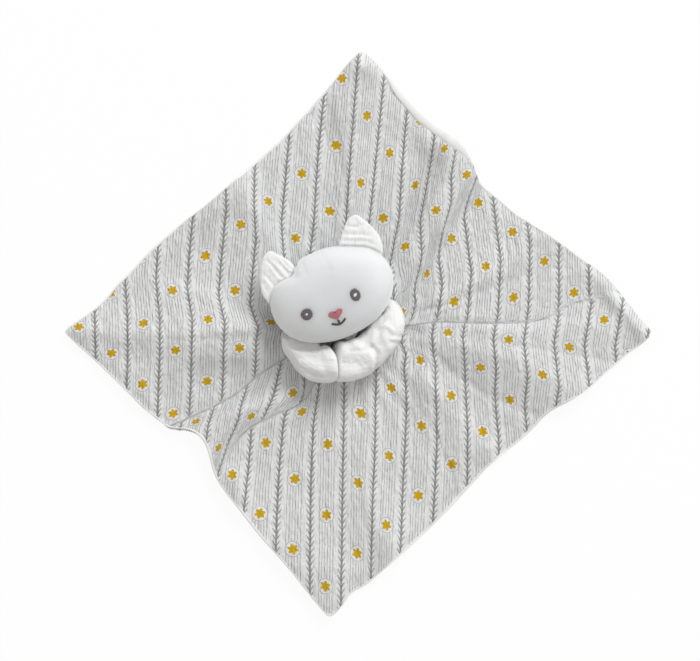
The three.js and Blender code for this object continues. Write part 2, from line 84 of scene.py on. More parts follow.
def addNode(tree, kind, settings=None, links=None):
    # numbers and names with a capital are sockets, the other names are the node's own settings
    made = tree.nodes.new(kind)
    for name, value in (settings or {}).items():
        if isinstance(name, int) or name[0].isupper():
            made.inputs[name].default_value = value
        else:
            setattr(made, name, value)
    for name, source in (links or {}).items():
        tree.links.new(source, made.inputs[name])
    return made


def worked(tree, known, steps):
    # each step is a name, an operation and its terms: numbers, or names of earlier results
    found = dict(known)
    for name, operation, *terms in steps:
        settings = {"operation": operation}
        links = {}
        for place, term in enumerate(terms):
            if isinstance(term, str):
                links[place] = found[term]
            else:
                settings[place] = term
        found[name] = addNode(tree, "ShaderNodeMath", settings, links).outputs[0]
    return found


def newMaterial(name):
    material = bpy.data.materials.new(name)
    material.use_nodes = True
    tree = material.node_tree
    tree.nodes.clear()
    return material, tree


def meshPiece(name, points, faces, flat=None, shown=None):
    # points in millimetres; flat gives each point's place on the cut cloth, as a UV map, and shown
    # how much of the printed ink is seen there
    mesh = bpy.data.meshes.new(name)
    mesh.from_pydata((np.asarray(points) * mm).tolist(), [], [tuple(face) for face in faces])
    mesh.update()
    mesh.polygons.foreach_set("use_smooth", np.ones(len(mesh.polygons), bool))
    if flat is not None:
        corners = np.zeros(len(mesh.loops), np.int64)
        mesh.loops.foreach_get("vertex_index", corners)
        layer = mesh.uv_layers.new(name="cutCloth")
        layer.data.foreach_set("uv", np.asarray(flat, float)[corners].ravel())
        seen = mesh.attributes.new("inkShown", "FLOAT", "POINT")
        seen.data.foreach_set("value", np.ones(len(points)) if shown is None else np.ravel(shown))
    piece = bpy.data.objects.new(name, mesh)
    bpy.context.scene.collection.objects.link(piece)
    return piece


def gridFaces(rows, columns, start=0, flip=False):
    # between rows of points that each close into a ring
    faces = []
    for row in range(rows - 1):
        for column in range(columns):
            a = start + row * columns + column
            b = start + row * columns + (column + 1) % columns
            face = (a, b, b + columns, a + columns)
            faces.append(face[::-1] if flip else face)
    return faces


def closedFaces(rings, count, pointed=True):
    # a first point, rings of count points, and at the far end a last point or one flat face
    faces = [(0, 1 + i, 1 + (i + 1) % count) for i in range(count)]
    faces += gridFaces(rings, count, 1, flip=True)
    last = 1 + (rings - 1) * count
    if pointed:
        return faces + [(last + count, last + (i + 1) % count, last + i) for i in range(count)]
    return faces + [tuple(last + i for i in range(count))[::-1]]


def smoothStep(low, high, value):
    share = np.clip((np.asarray(value, float) - low) / (high - low), 0, 1)
    return share * share * (3 - 2 * share)


def waves(x, y, count, shortest, longest, seed):
    # a soft random relief, mostly between -1 and 1, made of plane waves that run in all directions
    draw = np.random.default_rng(seed)
    total = np.zeros_like(np.asarray(x, float))
    for _ in range(count):
        angle = math.radians(draw.uniform(-180, 180))
        length = math.exp(draw.uniform(math.log(shortest), math.log(longest)))
        phase = draw.uniform(0, 2 * math.pi)
        total = total + np.sin(
            2 * math.pi * (x * math.cos(angle) + y * math.sin(angle)) / length + phase
        )
    return total / math.sqrt(count) / 1.4


# Materials

printLook = {
    "stripePitch": 23.6,
    "starRepeat": 50,
    "starPoint": 4.15,
    "starNotch": 2.4,
    "starSharpness": 2.6,  # how sharply the ink ends, per millimetre
    "starTurn": 0.3,  # each star is printed up to so far askew, in radians
    "discRadius": 5.45,  # the white disc round a star, out to its thin ring
    "ringSharpness": 3.0,
    "linePitch": 2.05,
    "lineWidth": 0.56,
    "lineSharpness": 3.2,
    "linesHalf": 6.15,  # half the width of a column's lines
    "branchRepeat": 4.45,
    "branchReach": 2.9,
    "branchRise": 1.35,  # up the cloth for each millimetre out
    "branchHalf": 1.22,  # half its width at the spine
    "branchThinning": 0.3,  # for each millimetre out
    "branchSharpness": 1.8,
    "spineSharpness": 1.7,
    "waver": 0.6,  # how far the printed lines stray
    "cloth": "#F7F8F9",
    "line": "#B5B4B1",
    "branch": "#A09F9C",
    "spine": "#858482",
    "ring": "#B4B5BA",
    "star": "#DAB00E",
}


def printedGauze():
    # Double cotton gauze: two loose plain weaves tacked together and printed. The weave is about
    # 18 threads to the centimetre, and washing crinkles it along the stripes, so that the printed
    # lines waver and the light breaks softly on it.
    look = printLook
    material, tree = newMaterial("printedDoubleGauze")
    flat = addNode(tree, "ShaderNodeUVMap", {"uv_map": "cutCloth"}).outputs[0]
    waver = addNode(
        tree, "ShaderNodeTexNoise",
        {"noise_dimensions": "2D", "Scale": 0.075, "Detail": 3, "Roughness": 0.55}, {"Vector": flat},
    )
    centred = addNode(
        tree, "ShaderNodeVectorMath",
        {"operation": "SUBTRACT", 1: (0.5, 0.5, 0.5)}, {0: waver.outputs["Color"]},
    )
    amount = addNode(
        tree, "ShaderNodeVectorMath",
        {"operation": "MULTIPLY", 1: (look["waver"], look["waver"], 0)}, {0: centred.outputs[0]},
    )
    place = addNode(tree, "ShaderNodeVectorMath", {"operation": "ADD"}, {0: flat, 1: amount.outputs[0]})
    axes = addNode(tree, "ShaderNodeSeparateXYZ", {}, {0: place.outputs[0]})
    pitch, repeat = look["stripePitch"], look["starRepeat"]
    spacing = look["linePitch"]
    got = worked(tree, {"x": axes.outputs[0], "y": axes.outputs[1]}, [
        ("columns", "DIVIDE", "x", pitch),
        ("columnShift", "ADD", "columns", 0.5),
        ("column", "FLOOR", "columnShift"),
        ("columnMiddle", "MULTIPLY", "column", pitch),
        ("across", "SUBTRACT", "x", "columnMiddle"),
        ("columnTurn", "MULTIPLY", "column", 2.1),
        ("odd", "FLOORED_MODULO", "column", 2),
        ("drop", "MULTIPLY", "odd", repeat / 2),
        ("raised", "ADD", "y", "drop"),
        ("raisedHalf", "ADD", "raised", repeat / 2),
        ("wrapped", "FLOORED_MODULO", "raisedHalf", repeat),
        ("along", "SUBTRACT", "wrapped", repeat / 2),
        ("acrossSquare", "MULTIPLY", "across", "across"),
        ("alongSquare", "MULTIPLY", "along", "along"),
        ("square", "ADD", "acrossSquare", "alongSquare"),
        ("radius", "SQRT", "square"),
        ("side", "ABSOLUTE", "across"),
        # the star: a turn that differs from one to the next, and an edge that swings between the
        # points and the notches and fades over 0.4 mm
        ("angle", "ARCTAN2", "across", "along"),
        ("row", "SNAP", "raisedHalf", repeat),
        ("rowTurn", "MULTIPLY_ADD", "row", 0.37, "columnTurn"),
        ("turned", "SINE", "rowTurn"),
        ("turnedAngle", "MULTIPLY_ADD", "turned", look["starTurn"], "angle"),
        ("points", "MULTIPLY", "turnedAngle", 3 / math.pi),
        ("pointsOff", "PINGPONG", "points", 0.5),
        ("pointsShare", "MULTIPLY", "pointsOff", 2),
        ("notch", "MULTIPLY", "pointsShare", look["starNotch"] - look["starPoint"]),
        ("starEdge", "ADD", "notch", look["starPoint"]),
        ("starOver", "SUBTRACT", "starEdge", "radius"),
        ("star", "MULTIPLY_ADD", "starOver", look["starSharpness"], 0.5),
        # the thin ring round each star, half a millimetre wide
        ("ringOff", "SUBTRACT", "radius", look["discRadius"]),
        ("ringSide", "ABSOLUTE", "ringOff"),
        ("ring", "MULTIPLY_ADD", "ringSide", -look["ringSharpness"], 1.25),
        # six thin lines in the middle of each star column, with edges that fade over 0.3 mm
        ("lineShift", "ADD", "across", spacing * 6),
        ("lineWrap", "FLOORED_MODULO", "lineShift", spacing),
        ("lineOff", "SUBTRACT", "lineWrap", spacing / 2),
        ("lineSide", "ABSOLUTE", "lineOff"),
        ("lineSoft", "SUBTRACT", look["lineWidth"] / 2, "lineSide"),
        ("lineInk", "MULTIPLY_ADD", "lineSoft", look["lineSharpness"], 0.5),
        ("withinLines", "LESS_THAN", "side", look["linesHalf"]),
        ("outsideDisc", "GREATER_THAN", "radius", look["discRadius"] + 0.6),
        # the branches between the columns, that open up the cloth and thin on their way out
        ("out", "SUBTRACT", pitch / 2, "side"),
        ("rise", "MULTIPLY", "out", look["branchRise"]),
        ("branchPlace", "SUBTRACT", "y", "rise"),
        ("branchWrap", "FLOORED_MODULO", "branchPlace", look["branchRepeat"]),
        ("branchOff", "SUBTRACT", "branchWrap", look["branchRepeat"] / 2),
        ("branchSide", "ABSOLUTE", "branchOff"),
        ("branchThin", "MULTIPLY_ADD", "out", -look["branchThinning"], look["branchHalf"]),
        ("branchSoft", "SUBTRACT", "branchThin", "branchSide"),
        ("branchInk", "MULTIPLY_ADD", "branchSoft", look["branchSharpness"], 0.5),
        ("withinBranch", "LESS_THAN", "out", look["branchReach"]),
        # the spine, darkest where the branches meet, and fading up to the next pair
        ("spineSoft", "MULTIPLY_ADD", "out", -look["spineSharpness"], 1.65),
        ("spineRise", "FLOORED_MODULO", "y", look["branchRepeat"]),
        ("spineFade", "MULTIPLY_ADD", "spineRise", -0.1, 1.0),
    ])
    inks = {}
    for name, source in (
        ("star", "star"), ("ring", "ring"), ("line", "lineInk"), ("branch", "branchInk"),
        ("spine", "spineSoft"),
    ):
        inks["ink " + name] = addNode(tree, "ShaderNodeClamp", {}, {0: got[source]}).outputs[0]
    # the ink sinks out of sight where a tuck closes
    shown = addNode(tree, "ShaderNodeAttribute", {"attribute_name": "inkShown"}).outputs["Fac"]
    # the ink lies unevenly on the loose weave, in streaks along the threads
    streaks = addNode(tree, "ShaderNodeMapping", {"Scale": (0.55, 0.2, 1)}, {"Vector": flat})
    patchy = addNode(
        tree, "ShaderNodeTexNoise",
        {"noise_dimensions": "2D", "Scale": 1, "Detail": 3, "Roughness": 0.7},
        {"Vector": streaks.outputs[0]},
    )
    got = worked(tree, {**got, **inks, "patchy": patchy.outputs[0], "shown": shown}, [
        ("uneven", "MULTIPLY_ADD", "patchy", 2.1, -0.22),
        ("evener", "MULTIPLY_ADD", "patchy", 1.2, 0.3),
        ("lineHere", "MULTIPLY", "ink line", "withinLines"),
        ("lineClear", "MULTIPLY", "lineHere", "outsideDisc"),
        ("lineAmount", "MULTIPLY", "lineClear", "uneven"),
        ("branchHere", "MULTIPLY", "ink branch", "withinBranch"),
        ("branchAmount", "MULTIPLY", "branchHere", "evener"),
        ("spineAmount", "MULTIPLY", "ink spine", "spineFade"),
        ("ringAmount", "MULTIPLY", "ink ring", 0.9),
        ("starAmount", "MULTIPLY", "ink star", "shown"),
        ("lineShown", "MULTIPLY", "lineAmount", "shown"),
        ("branchShown", "MULTIPLY", "branchAmount", "shown"),
        ("spineShown", "MULTIPLY", "spineAmount", "shown"),
    ])
    colour = addNode(tree, "ShaderNodeRGB").outputs[0]
    colour.default_value = linear(look["cloth"])
    for amountName, ink in (
        ("lineShown", "line"), ("branchShown", "branch"), ("spineShown", "spine"),
        ("ringAmount", "ring"), ("starAmount", "star"),
    ):
        colour = addNode(
            tree, "ShaderNodeMix",
            {"data_type": "RGBA", 7: linear(look[ink])}, {0: got[amountName], 6: colour},
        ).outputs[2]
    finishGauze(tree, flat, colour, crinkle=0.00084)
    return material


def finishGauze(tree, flat, colour, crinkle, bloom=0.15, through=0):
    # the crinkle runs along the cloth's length: ridges about 3 mm apart and 9 mm long; bloom is
    # the shine of the fluff at its edge, through how much light the stuffing scatters back
    ridges = addNode(tree, "ShaderNodeMapping", {"Scale": (0.33, 0.11, 1)}, {"Vector": flat})
    ridgeNoise = addNode(
        tree, "ShaderNodeTexNoise",
        {"noise_dimensions": "2D", "Scale": 1, "Detail": 2, "Roughness": 0.55},
        {"Vector": ridges.outputs[0]},
    )
    axes = addNode(tree, "ShaderNodeSeparateXYZ", {}, {0: flat})
    threadPitch = 0.56
    got = worked(tree, {"x": axes.outputs[0], "y": axes.outputs[1], "ridge": ridgeNoise.outputs[0]}, [
        ("warpTurn", "MULTIPLY", "x", 2 * math.pi / threadPitch),
        ("warp", "SINE", "warpTurn"),
        ("weftTurn", "MULTIPLY", "y", 2 * math.pi / threadPitch),
        ("weft", "SINE", "weftTurn"),
        ("weave", "MULTIPLY", "warp", "weft"),
        ("weaveHeight", "MULTIPLY", "weave", 0.035),
        ("height", "ADD", "ridge", "weaveHeight"),
        ("shade", "MULTIPLY_ADD", "weave", 0.02, 0.98),
    ])
    bump = addNode(
        tree, "ShaderNodeBump", {"Strength": 1, "Distance": crinkle * 4}, {"Height": got["height"]}
    )
    woven = addNode(
        tree, "ShaderNodeVectorMath", {"operation": "SCALE"}, {0: colour, "Scale": got["shade"]}
    )
    shader = addNode(
        tree, "ShaderNodeBsdfPrincipled",
        {
            "Roughness": 0.9, "Sheen Weight": bloom, "Sheen Roughness": 0.4, "Specular IOR Level": 0.25,
            "Subsurface Weight": through, "Subsurface Radius": (1, 1, 1), "Subsurface Scale": 0.004,
        },
        {"Base Color": woven.outputs[0], "Normal": bump.outputs[0]},
    )
    addNode(tree, "ShaderNodeOutputMaterial", {}, {0: shader.outputs[0]})


def whiteGauze():
    # The same double gauze, undyed and unprinted, warmer than the velour beside it
    material, tree = newMaterial("whiteDoubleGauze")
    flat = addNode(tree, "ShaderNodeUVMap", {"uv_map": "cutCloth"}).outputs[0]
    mottle = addNode(
        tree, "ShaderNodeTexNoise", {"noise_dimensions": "2D", "Scale": 0.3, "Detail": 3},
        {"Vector": flat},
    )
    colour = addNode(
        tree, "ShaderNodeMix", {"data_type": "RGBA", 6: linear("#F0F0F0"), 7: linear("#E9E9E8")},
        {0: mottle.outputs[0]},
    )
    finishGauze(tree, flat, colour.outputs[2], crinkle=0.00025, bloom=0.5, through=0.6)
    return material


def liningCotton():
    # Plain white cotton jersey: fine knit columns about 0.9 mm apart, matte
    material, tree = newMaterial("liningCottonJersey")
    flat = addNode(tree, "ShaderNodeUVMap", {"uv_map": "cutCloth"}).outputs[0]
    axes = addNode(tree, "ShaderNodeSeparateXYZ", {}, {0: flat})
    got = worked(tree, {"x": axes.outputs[0], "y": axes.outputs[1]}, [
        ("waleTurn", "MULTIPLY", "x", 2 * math.pi / 0.9),
        ("wale", "SINE", "waleTurn"),
        ("courseTurn", "MULTIPLY", "y", 2 * math.pi / 0.7),
        ("course", "SINE", "courseTurn"),
        ("loops", "MULTIPLY", "wale", "course"),
        ("height", "MULTIPLY_ADD", "loops", 0.25, 0.5),
        ("shade", "MULTIPLY_ADD", "loops", 0.012, 0.985),
    ])
    bump = addNode(
        tree, "ShaderNodeBump", {"Strength": 0.7, "Distance": 0.0002}, {"Height": got["height"]}
    )
    white = addNode(tree, "ShaderNodeRGB").outputs[0]
    white.default_value = linear("#EFEFEF")
    knitted = addNode(
        tree, "ShaderNodeVectorMath", {"operation": "SCALE"}, {0: white, "Scale": got["shade"]}
    )
    shader = addNode(
        tree, "ShaderNodeBsdfPrincipled",
        {"Roughness": 0.92, "Sheen Weight": 0.2, "Sheen Roughness": 0.5, "Specular IOR Level": 0.2},
        {"Base Color": knitted.outputs[0], "Normal": bump.outputs[0]},
    )
    addNode(tree, "ShaderNodeOutputMaterial", {}, {0: shader.outputs[0]})
    return material


def velourKnit():
    # Cotton velour: a knit with a short cut pile, cool white, so that its edge takes a soft bloom
    # of light and its surface shows only a fine grain of about half a millimetre
    material, tree = newMaterial("cottonVelour")
    place = addNode(tree, "ShaderNodeTexCoord").outputs["Object"]
    grain = addNode(
        tree, "ShaderNodeTexNoise", {"Scale": 1500, "Detail": 3, "Roughness": 0.65}, {"Vector": place}
    )
    cloudy = addNode(tree, "ShaderNodeTexNoise", {"Scale": 130, "Detail": 2}, {"Vector": place})
    mix = worked(tree, {"grain": grain.outputs[0], "cloudy": cloudy.outputs[0]}, [
        ("cloudyShare", "MULTIPLY", "cloudy", 0.6),
        ("share", "MULTIPLY_ADD", "grain", 0.5, "cloudyShare"),
    ])
    colour = addNode(
        tree, "ShaderNodeMix", {"data_type": "RGBA", 6: linear("#D2D4D6"), 7: linear("#DEDFE1")},
        {0: mix["share"]},
    )
    bump = addNode(
        tree, "ShaderNodeBump", {"Strength": 0.6, "Distance": 0.00018}, {"Height": grain.outputs[0]}
    )
    shader = addNode(
        tree, "ShaderNodeBsdfPrincipled",
        {
            "Roughness": 0.95, "Sheen Weight": 1.0, "Sheen Roughness": 0.4, "Specular IOR Level": 0.15,
            "Subsurface Weight": 1.0, "Subsurface Radius": (1, 1, 1), "Subsurface Scale": 0.03,
        },
        {"Base Color": colour.outputs[2], "Normal": bump.outputs[0]},
    )
    addNode(tree, "ShaderNodeOutputMaterial", {}, {0: shader.outputs[0]})
    return material


def stitchingThread(name, dark, light):
    # Rayon embroidery thread: slightly glossy, each stitch a shade apart from the next
    material, tree = newMaterial(name)
    place = addNode(tree, "ShaderNodeTexCoord").outputs["Object"]
    shades = addNode(tree, "ShaderNodeTexNoise", {"Scale": 1400, "Detail": 2}, {"Vector": place})
    colour = addNode(
        tree, "ShaderNodeMix", {"data_type": "RGBA", 6: linear(dark), 7: linear(light)},
        {0: shades.outputs[0]},
    )
    bump = addNode(
        tree, "ShaderNodeBump", {"Strength": 0.5, "Distance": 0.0001}, {"Height": shades.outputs[0]}
    )
    shader = addNode(
        tree, "ShaderNodeBsdfPrincipled", {"Roughness": 0.55, "Specular IOR Level": 0.4},
        {"Base Color": colour.outputs[2], "Normal": bump.outputs[0]},
    )
    addNode(tree, "ShaderNodeOutputMaterial", {}, {0: shader.outputs[0]})
    return material


gauzePrint = printedGauze()
gauzeWhite = whiteGauze()
liningWhite = liningCotton()
velour = velourKnit()
threadGrey = stitchingThread("greyEmbroideryThread", "#504A4C", "#736C6E")
threadWhite = stitchingThread("whiteEmbroideryThread", "#E6E6E6", "#F6F6F6")
threadRose = stitchingThread("roseEmbroideryThread", "#B2626A", "#CB838A")
threadDark = stitchingThread("darkEmbroideryThread", "#3E3A3C", "#5A5557")
threadSewing = stitchingThread("whiteSewingThread", "#E2E2E2", "#F0F0F0")
print("materials are mixed")


# Cloth

cloth = {
    "corners": ((87, 201.3), (180.6, 204.8), (266.5, 208.6), (359.5, 219.8)),  # direction and reach
    "cornerInset": 0.8,
    "raysPerSide": 125,
    "rings": 150,
    "liningRings": 44,
    "hemRings": 12,
    "neckHole": 9.9,
    "liningLevel": 1.3,  # thickness of what lies under the front
    "thickness": 0.8,
    "deepest": 0.7,  # that a wrinkle may sink below the flat cloth
    "underHead": 52,  # how far out the cloth is pressed flat by the head and the arms
    "pressedLevel": 4.6,
    "neckRise": 3.4,
    "neckRiseReach": 7,
    "seamInset": 0.5,
    "edgeThinning": 1.2,
    "rolledInset": 6.2,  # where the lining rolls over the front, at the upper right
    "rolledRise": 1.3,
    "printShift": (0.36, -0.36),
}

# Where the laid edge bows in or out: place along the side, depth and width of the bow. Fitting
# programs worked out this table and the next three, of folds, swells and the drawn-in print.
edgeBows = (
    (
        (0.13, -1.2, 0.059), (0.287, -7.2, 0.151), (0.487, -3.1, 0.109), (0.567, -1.4, 0.104),
        (0.792, -1.7, 0.079), (0.896, -3.6, 0.062),
    ),
    (
        (0.2, 0.6, 0.048), (0.243, -5.2, 0.179), (0.364, 3.7, 0.022), (0.44, -20.0, 0.084),
        (0.565, -4.4, 0.061), (0.65, -4.4, 0.078), (0.805, -3.5, 0.111),
    ),
    (
        (0.078, -3.1, 0.026), (0.186, -0.5, 0.09), (0.393, -0.9, 0.086), (0.527, -5.9, 0.11),
        (0.691, -5.4, 0.064), (0.977, 1.5, 0.041),
    ),
    (
        (0.172, 5.2, 0.1), (0.495, -7.9, 0.127), (0.562, -3.1, 0.039), (0.653, 3.0, 0.062),
        (0.789, -2.3, 0.065), (0.936, 0.5, 0.05),
    ),
)

# The folds: for 55, 110 and 170 mm from the neck each crest's direction and height, and the
# spread of its two flanks at 110 mm, on the anticlockwise and on the clockwise side
foldMarks = (55, 110, 170)
foldStart = (45, 74)
foldForm = {
    "sharpness": 1.6,  # 2 is a round crest
    "widening": 0.4,  # share of a flank's spread that grows with the distance from the neck
    "drop": 0.5,  # share of the height that is lost between the two distances of outerFade
    "outerFade": (170, 215),
    "softness": 0.4,  # where a fold meets the flat cloth
}
wrinkles = {"soft": 0.55, "crumpled": 0.32, "pleats": 41, "pleatHeight": 0.55, "pleatReach": 9}
folds = (
    {"turn": (178.5, 182.5, 181), "height": (10.2, 8.7, 4.3), "left": 18, "right": 19},
    {"turn": (226.5, 216.5, 214.5), "height": (6.2, 7.3, 9.0), "left": 19, "right": 7},
    {"turn": (181, 167, 173), "height": (-0.7, 4.6, -2.3), "left": 29, "right": 7},
    {"turn": (136, 128.5, 122), "height": (8.7, 7.5, 5.4), "left": 34, "right": 10},
    {"turn": (87.5, 88.5, 86), "height": (7.9, 7.0, 6.9), "left": 11, "right": 15},
    {"turn": (105.5, 96, 97.5), "height": (-0.8, -2.6, -2.5), "left": 9, "right": 7},
    {"turn": (49, 57.5, 62.5), "height": (3.7, 2.9, 9.0), "left": 5, "right": 9},
    {"turn": (16, 20, 30), "height": (3.6, 8.4, 8.3), "left": 8, "right": 34},
    {"turn": (7, -1.5, 0), "height": (-3.0, 4.5, 5.1), "left": 10, "right": 13},
    {"turn": (354, 349.5, 345), "height": (10.1, 11.8, 9.0), "left": 20, "right": 24},
    {"turn": (327.5, 319.5, 318.5), "height": (8.8, 4.7, 3.1), "left": 11, "right": 21},
    {"turn": (295, 286.5, 293), "height": (-3.0, -0.2, -1.3), "left": 21, "right": 8},
    {"turn": (283.5, 276, 281.5), "height": (1.4, 4.3, 8.8), "left": 19, "right": 14},
    {"turn": (271.5, 259, 252), "height": (2.6, 3.3, 7.3), "left": 22, "right": 11},
    {"turn": (232.5, 232, 242), "height": (1.2, 1.7, 9.0), "left": 13, "right": 17},
    {"turn": (73, 71, 68.5), "height": (-0.6, 6.0, -0.3), "left": 13, "right": 9},
    {"turn": (37, 32, 24.5), "height": (-0.1, -0.6, 4.6), "left": 16, "right": 11},
    {"turn": (194, 190.5, 198.5), "height": (9.4, 5.7, 5.7), "left": 13, "right": 28},
    {"turn": (7.5, 8, 13), "height": (-3.0, 4.3, 1.5), "left": 19, "right": 14},
)

# Swells of the cloth where its edge doesn't lie flat: place, height, turn of the long axis,
# half length and half width
swells = (
    {"turn": 63, "at": 148, "height": 7.0, "lean": -42, "length": 27, "width": 13},
    {"turn": 4, "at": 198, "height": 5.2, "lean": -50, "length": 34, "width": 6},
    {"turn": 86, "at": 188, "height": 7.0, "lean": 49, "length": 9, "width": 12},
    {"turn": 91, "at": 163, "height": 6.3, "lean": 73, "length": 26, "width": 9},
    {"turn": 336, "at": 166, "height": 7.0, "lean": 61, "length": 30, "width": 8},
    {"turn": 303, "at": 152, "height": 3.1, "lean": 39, "length": 22, "width": 7},
    {"turn": 219, "at": 145, "height": 7.0, "lean": -39, "length": 42, "width": 15},
    {"turn": 134, "at": 128, "height": 4.9, "lean": 44, "length": 29, "width": 9},
    {"turn": 181, "at": 175, "height": 2.4, "lean": -3, "length": 34, "width": 7},
    {"turn": 266, "at": 191, "height": 6.8, "lean": 88, "length": 41, "width": 24},
    {"turn": 59, "at": 123, "height": 6.0, "lean": 91, "length": 46, "width": 11},
    {"turn": 23, "at": 121, "height": 4.0, "lean": 17, "length": 23, "width": 13},
)

# How far the gathers have drawn the print away from its place on the flat cut: direction, then
# how far across and up at 110 mm from the neck, and how much more for each 60 mm further out
drawnIn = (
    (106, -9.6, -13.2, 5.5, -0.6), (121, -9.7, -8.7, 6.8, 1.0), (135, -5.0, 0.3, 4.5, 1.0),
    (152, -7.5, 2.7, 3.3, 1.5), (165, -9.0, 2.8, 3.0, -1.3), (177, -4.7, 6.8, 0.6, -5.3),
    (188, -5.3, 10.9, 1.7, -1.4), (200, -6.2, 12.5, 0.7, -1.4), (207.4, -7.3, 15.9, 0.5, -1.1),
    (208.6, -14.4, 36.9, 0.1, 4.1), (223, -20.4, 38.6, -0.1, 5.5), (227.4, -20.4, 38.3, -0.1, 5.4),
    (228.6, -33.9, 45.5, -1.0, 4.1), (242, -36.8, 42.8, -3.9, 0.8), (251, -37.6, 42.9, -2.1, 0.3),
    (262, -38.1, 42.7, -0.5, -0.4), (273, -39.4, 40.8, -1.1, -1.5), (281, -40.6, 36.9, -4.3, -3.2),
    (290, -42.4, 32.8, -3.9, -3.4), (308, -42.5, 29.4, -3.2, -4.0), (324, -44.3, 27.2, -2.2, -2.0),
    (337, -47.4, 25.6, -6.1, -2.9), (345, -47.1, 21.3, -2.9, -5.3), (356, -49.7, 18.7, -4.9, -8.0),
    (366.6, -46.2, 14.6, -2.7, -7.3), (367.8, -45.8, -3.0, -4.9, 5.0), (375, -44.6, -2.8, -6.0, 3.8),
    (385, -42.6, -4.8, -7.3, 3.1), (396, -44.4, -8.4, -8.1, 2.7), (408.2, -46.2, -10.6, -6.7, 1.7),
    (409.4, -31.4, -12.7, -3.2, 0.0), (416, -31.1, -16.1, -2.1, -0.5), (425, -21.6, -21.7, 0.9, -3.0),
    (434, -19.9, -22.5, 3.7, -5.3), (445, -13.4, -20.2, 5.6, -2.3), (451, -9.6, -18.4, 5.1, -1.6),
    (459, -10.9, -15.4, 5.5, -1.1),
)

# Tucks, where a strip of the print has gone out of sight: path as distance and direction, the
# share of the strip that goes at the line itself, how far out that holds, and the millimetres
# across between which the rest is drawn in
tucks = (
    {
        "path": ((45, 34), (60, 36.5), (77, 40.5), (100, 46.5), (125, 47.6), (150, 48.8)),
        "share": 0.05, "to": 190, "soft": (-8, 8),
    },
    {
        "path": (
            (45, 204.5), (61, 206.3), (79, 208.6), (92, 210.6), (106, 210.2), (127, 209.3), (160, 208),
        ),
        "share": 0.7, "to": 190, "soft": (0, 12),
    },
    {
        "path": ((45, 238), (63, 234), (89, 227), (106, 224.8), (121, 226.6), (131, 228.4), (160, 228)),
        "share": 0.6, "to": 112, "soft": (-12, 2),
    },
    {
        "path": ((45, 5.9), (96, 2.4), (134, 2.2), (150, 4.4), (163, 7.2)),
        "share": 0.97, "to": 192, "soft": (0, 4),
    },
)

# Where the print near the head is nudged: place, then how far, and how wide around it
nudges = (
    ((-38.6, -45.7), (-5.0, 4.7), 13), ((-54.9, 5.0), (-0.5, 3.2), 14), ((40.3, 13.8), (-2.7, 4.5), 14),
)

# Deep narrow creases: path as distance and direction, depth, half width, start and end
creases = (
    (tucks[3]["path"], 1.0, 2.4, 42, 140),
    (((50, 14), (65, 13), (95, 15.3), (130, 17)), 1.0, 2.1, 45, 150),
    (tucks[0]["path"], 0.8, 3.0, 60, 165),
    (((60, 91), (114, 91.6), (165, 95.5)), 0.9, 2.8, 50, 190),
    (tucks[1]["path"], 1.9, 3.0, 46, 165),
    (tucks[2]["path"], 1.4, 2.4, 48, 145),
    (((90, 275), (119, 274), (172, 277)), 0.9, 2.0, 100, 185),
    (((60, 185), (120, 183.5), (170, 183)), 1.2, 3.5, 45, 150),
    (((57, 348), (80, 337), (113, 334.5), (150, 335.5)), 1.2, 3.0, 50, 165),
    (((43, 316), (70, 313), (93, 311), (122, 306), (143, 303)), 1.0, 3.0, 40, 155),
    (((110, 354.7), (150, 353.8), (190, 353)), 0.9, 2.2, 105, 200),
)


def clothOutline():
    corners = []
    for turn, reach in cloth["corners"]:
        way = np.array([math.cos(math.radians(turn)), math.sin(math.radians(turn))])
        corners.append((reach - cloth["cornerInset"]) * way)
    points = []
    for side, bows in enumerate(edgeBows):
        start, end = corners[side], corners[(side + 1) % 4]
        along = (end - start) / np.linalg.norm(end - start)
        outward = np.array([along[1], -along[0]])
        for step in range(cloth["raysPerSide"]):
            share = step / cloth["raysPerSide"]
            bow = sum(depth * math.exp(-(((share - at) / width) ** 2)) for at, depth, width in bows)
            points.append(start + (end - start) * share + outward * bow)
    points = np.array(points)
    for _ in range(3):  # rounds the corners
        points = (np.roll(points, 1, 0) + 2 * points + np.roll(points, -1, 0)) / 4
    # the sewn edge is never quite straight
    angle = np.arctan2(points[:, 1], points[:, 0])
    wander = waves(points[:, 0], points[:, 1], 9, 18, 60, 11) * 0.3
    return points + np.stack([np.cos(angle), np.sin(angle)], 1) * wander[:, None]


def crestTurn(path, distance):
    # the corners of the path are rounded off
    places, turns = [p[0] for p in path], [p[1] for p in path]
    return sum(np.interp(distance + by, places, turns) for by in (-9, -5, -1.5, 1.5, 5, 9)) / 6


def turnFrom(turn, other):
    return (turn - other + 180) % 360 - 180


def eased(marks, distance):
    # a value given at the three marks, going smoothly from one to the next
    near, middle, far = foldMarks
    return (
        marks[0]
        + (marks[1] - marks[0]) * smoothStep(near, middle, distance)
        + (marks[2] - marks[1]) * smoothStep(middle, far, distance)
    )


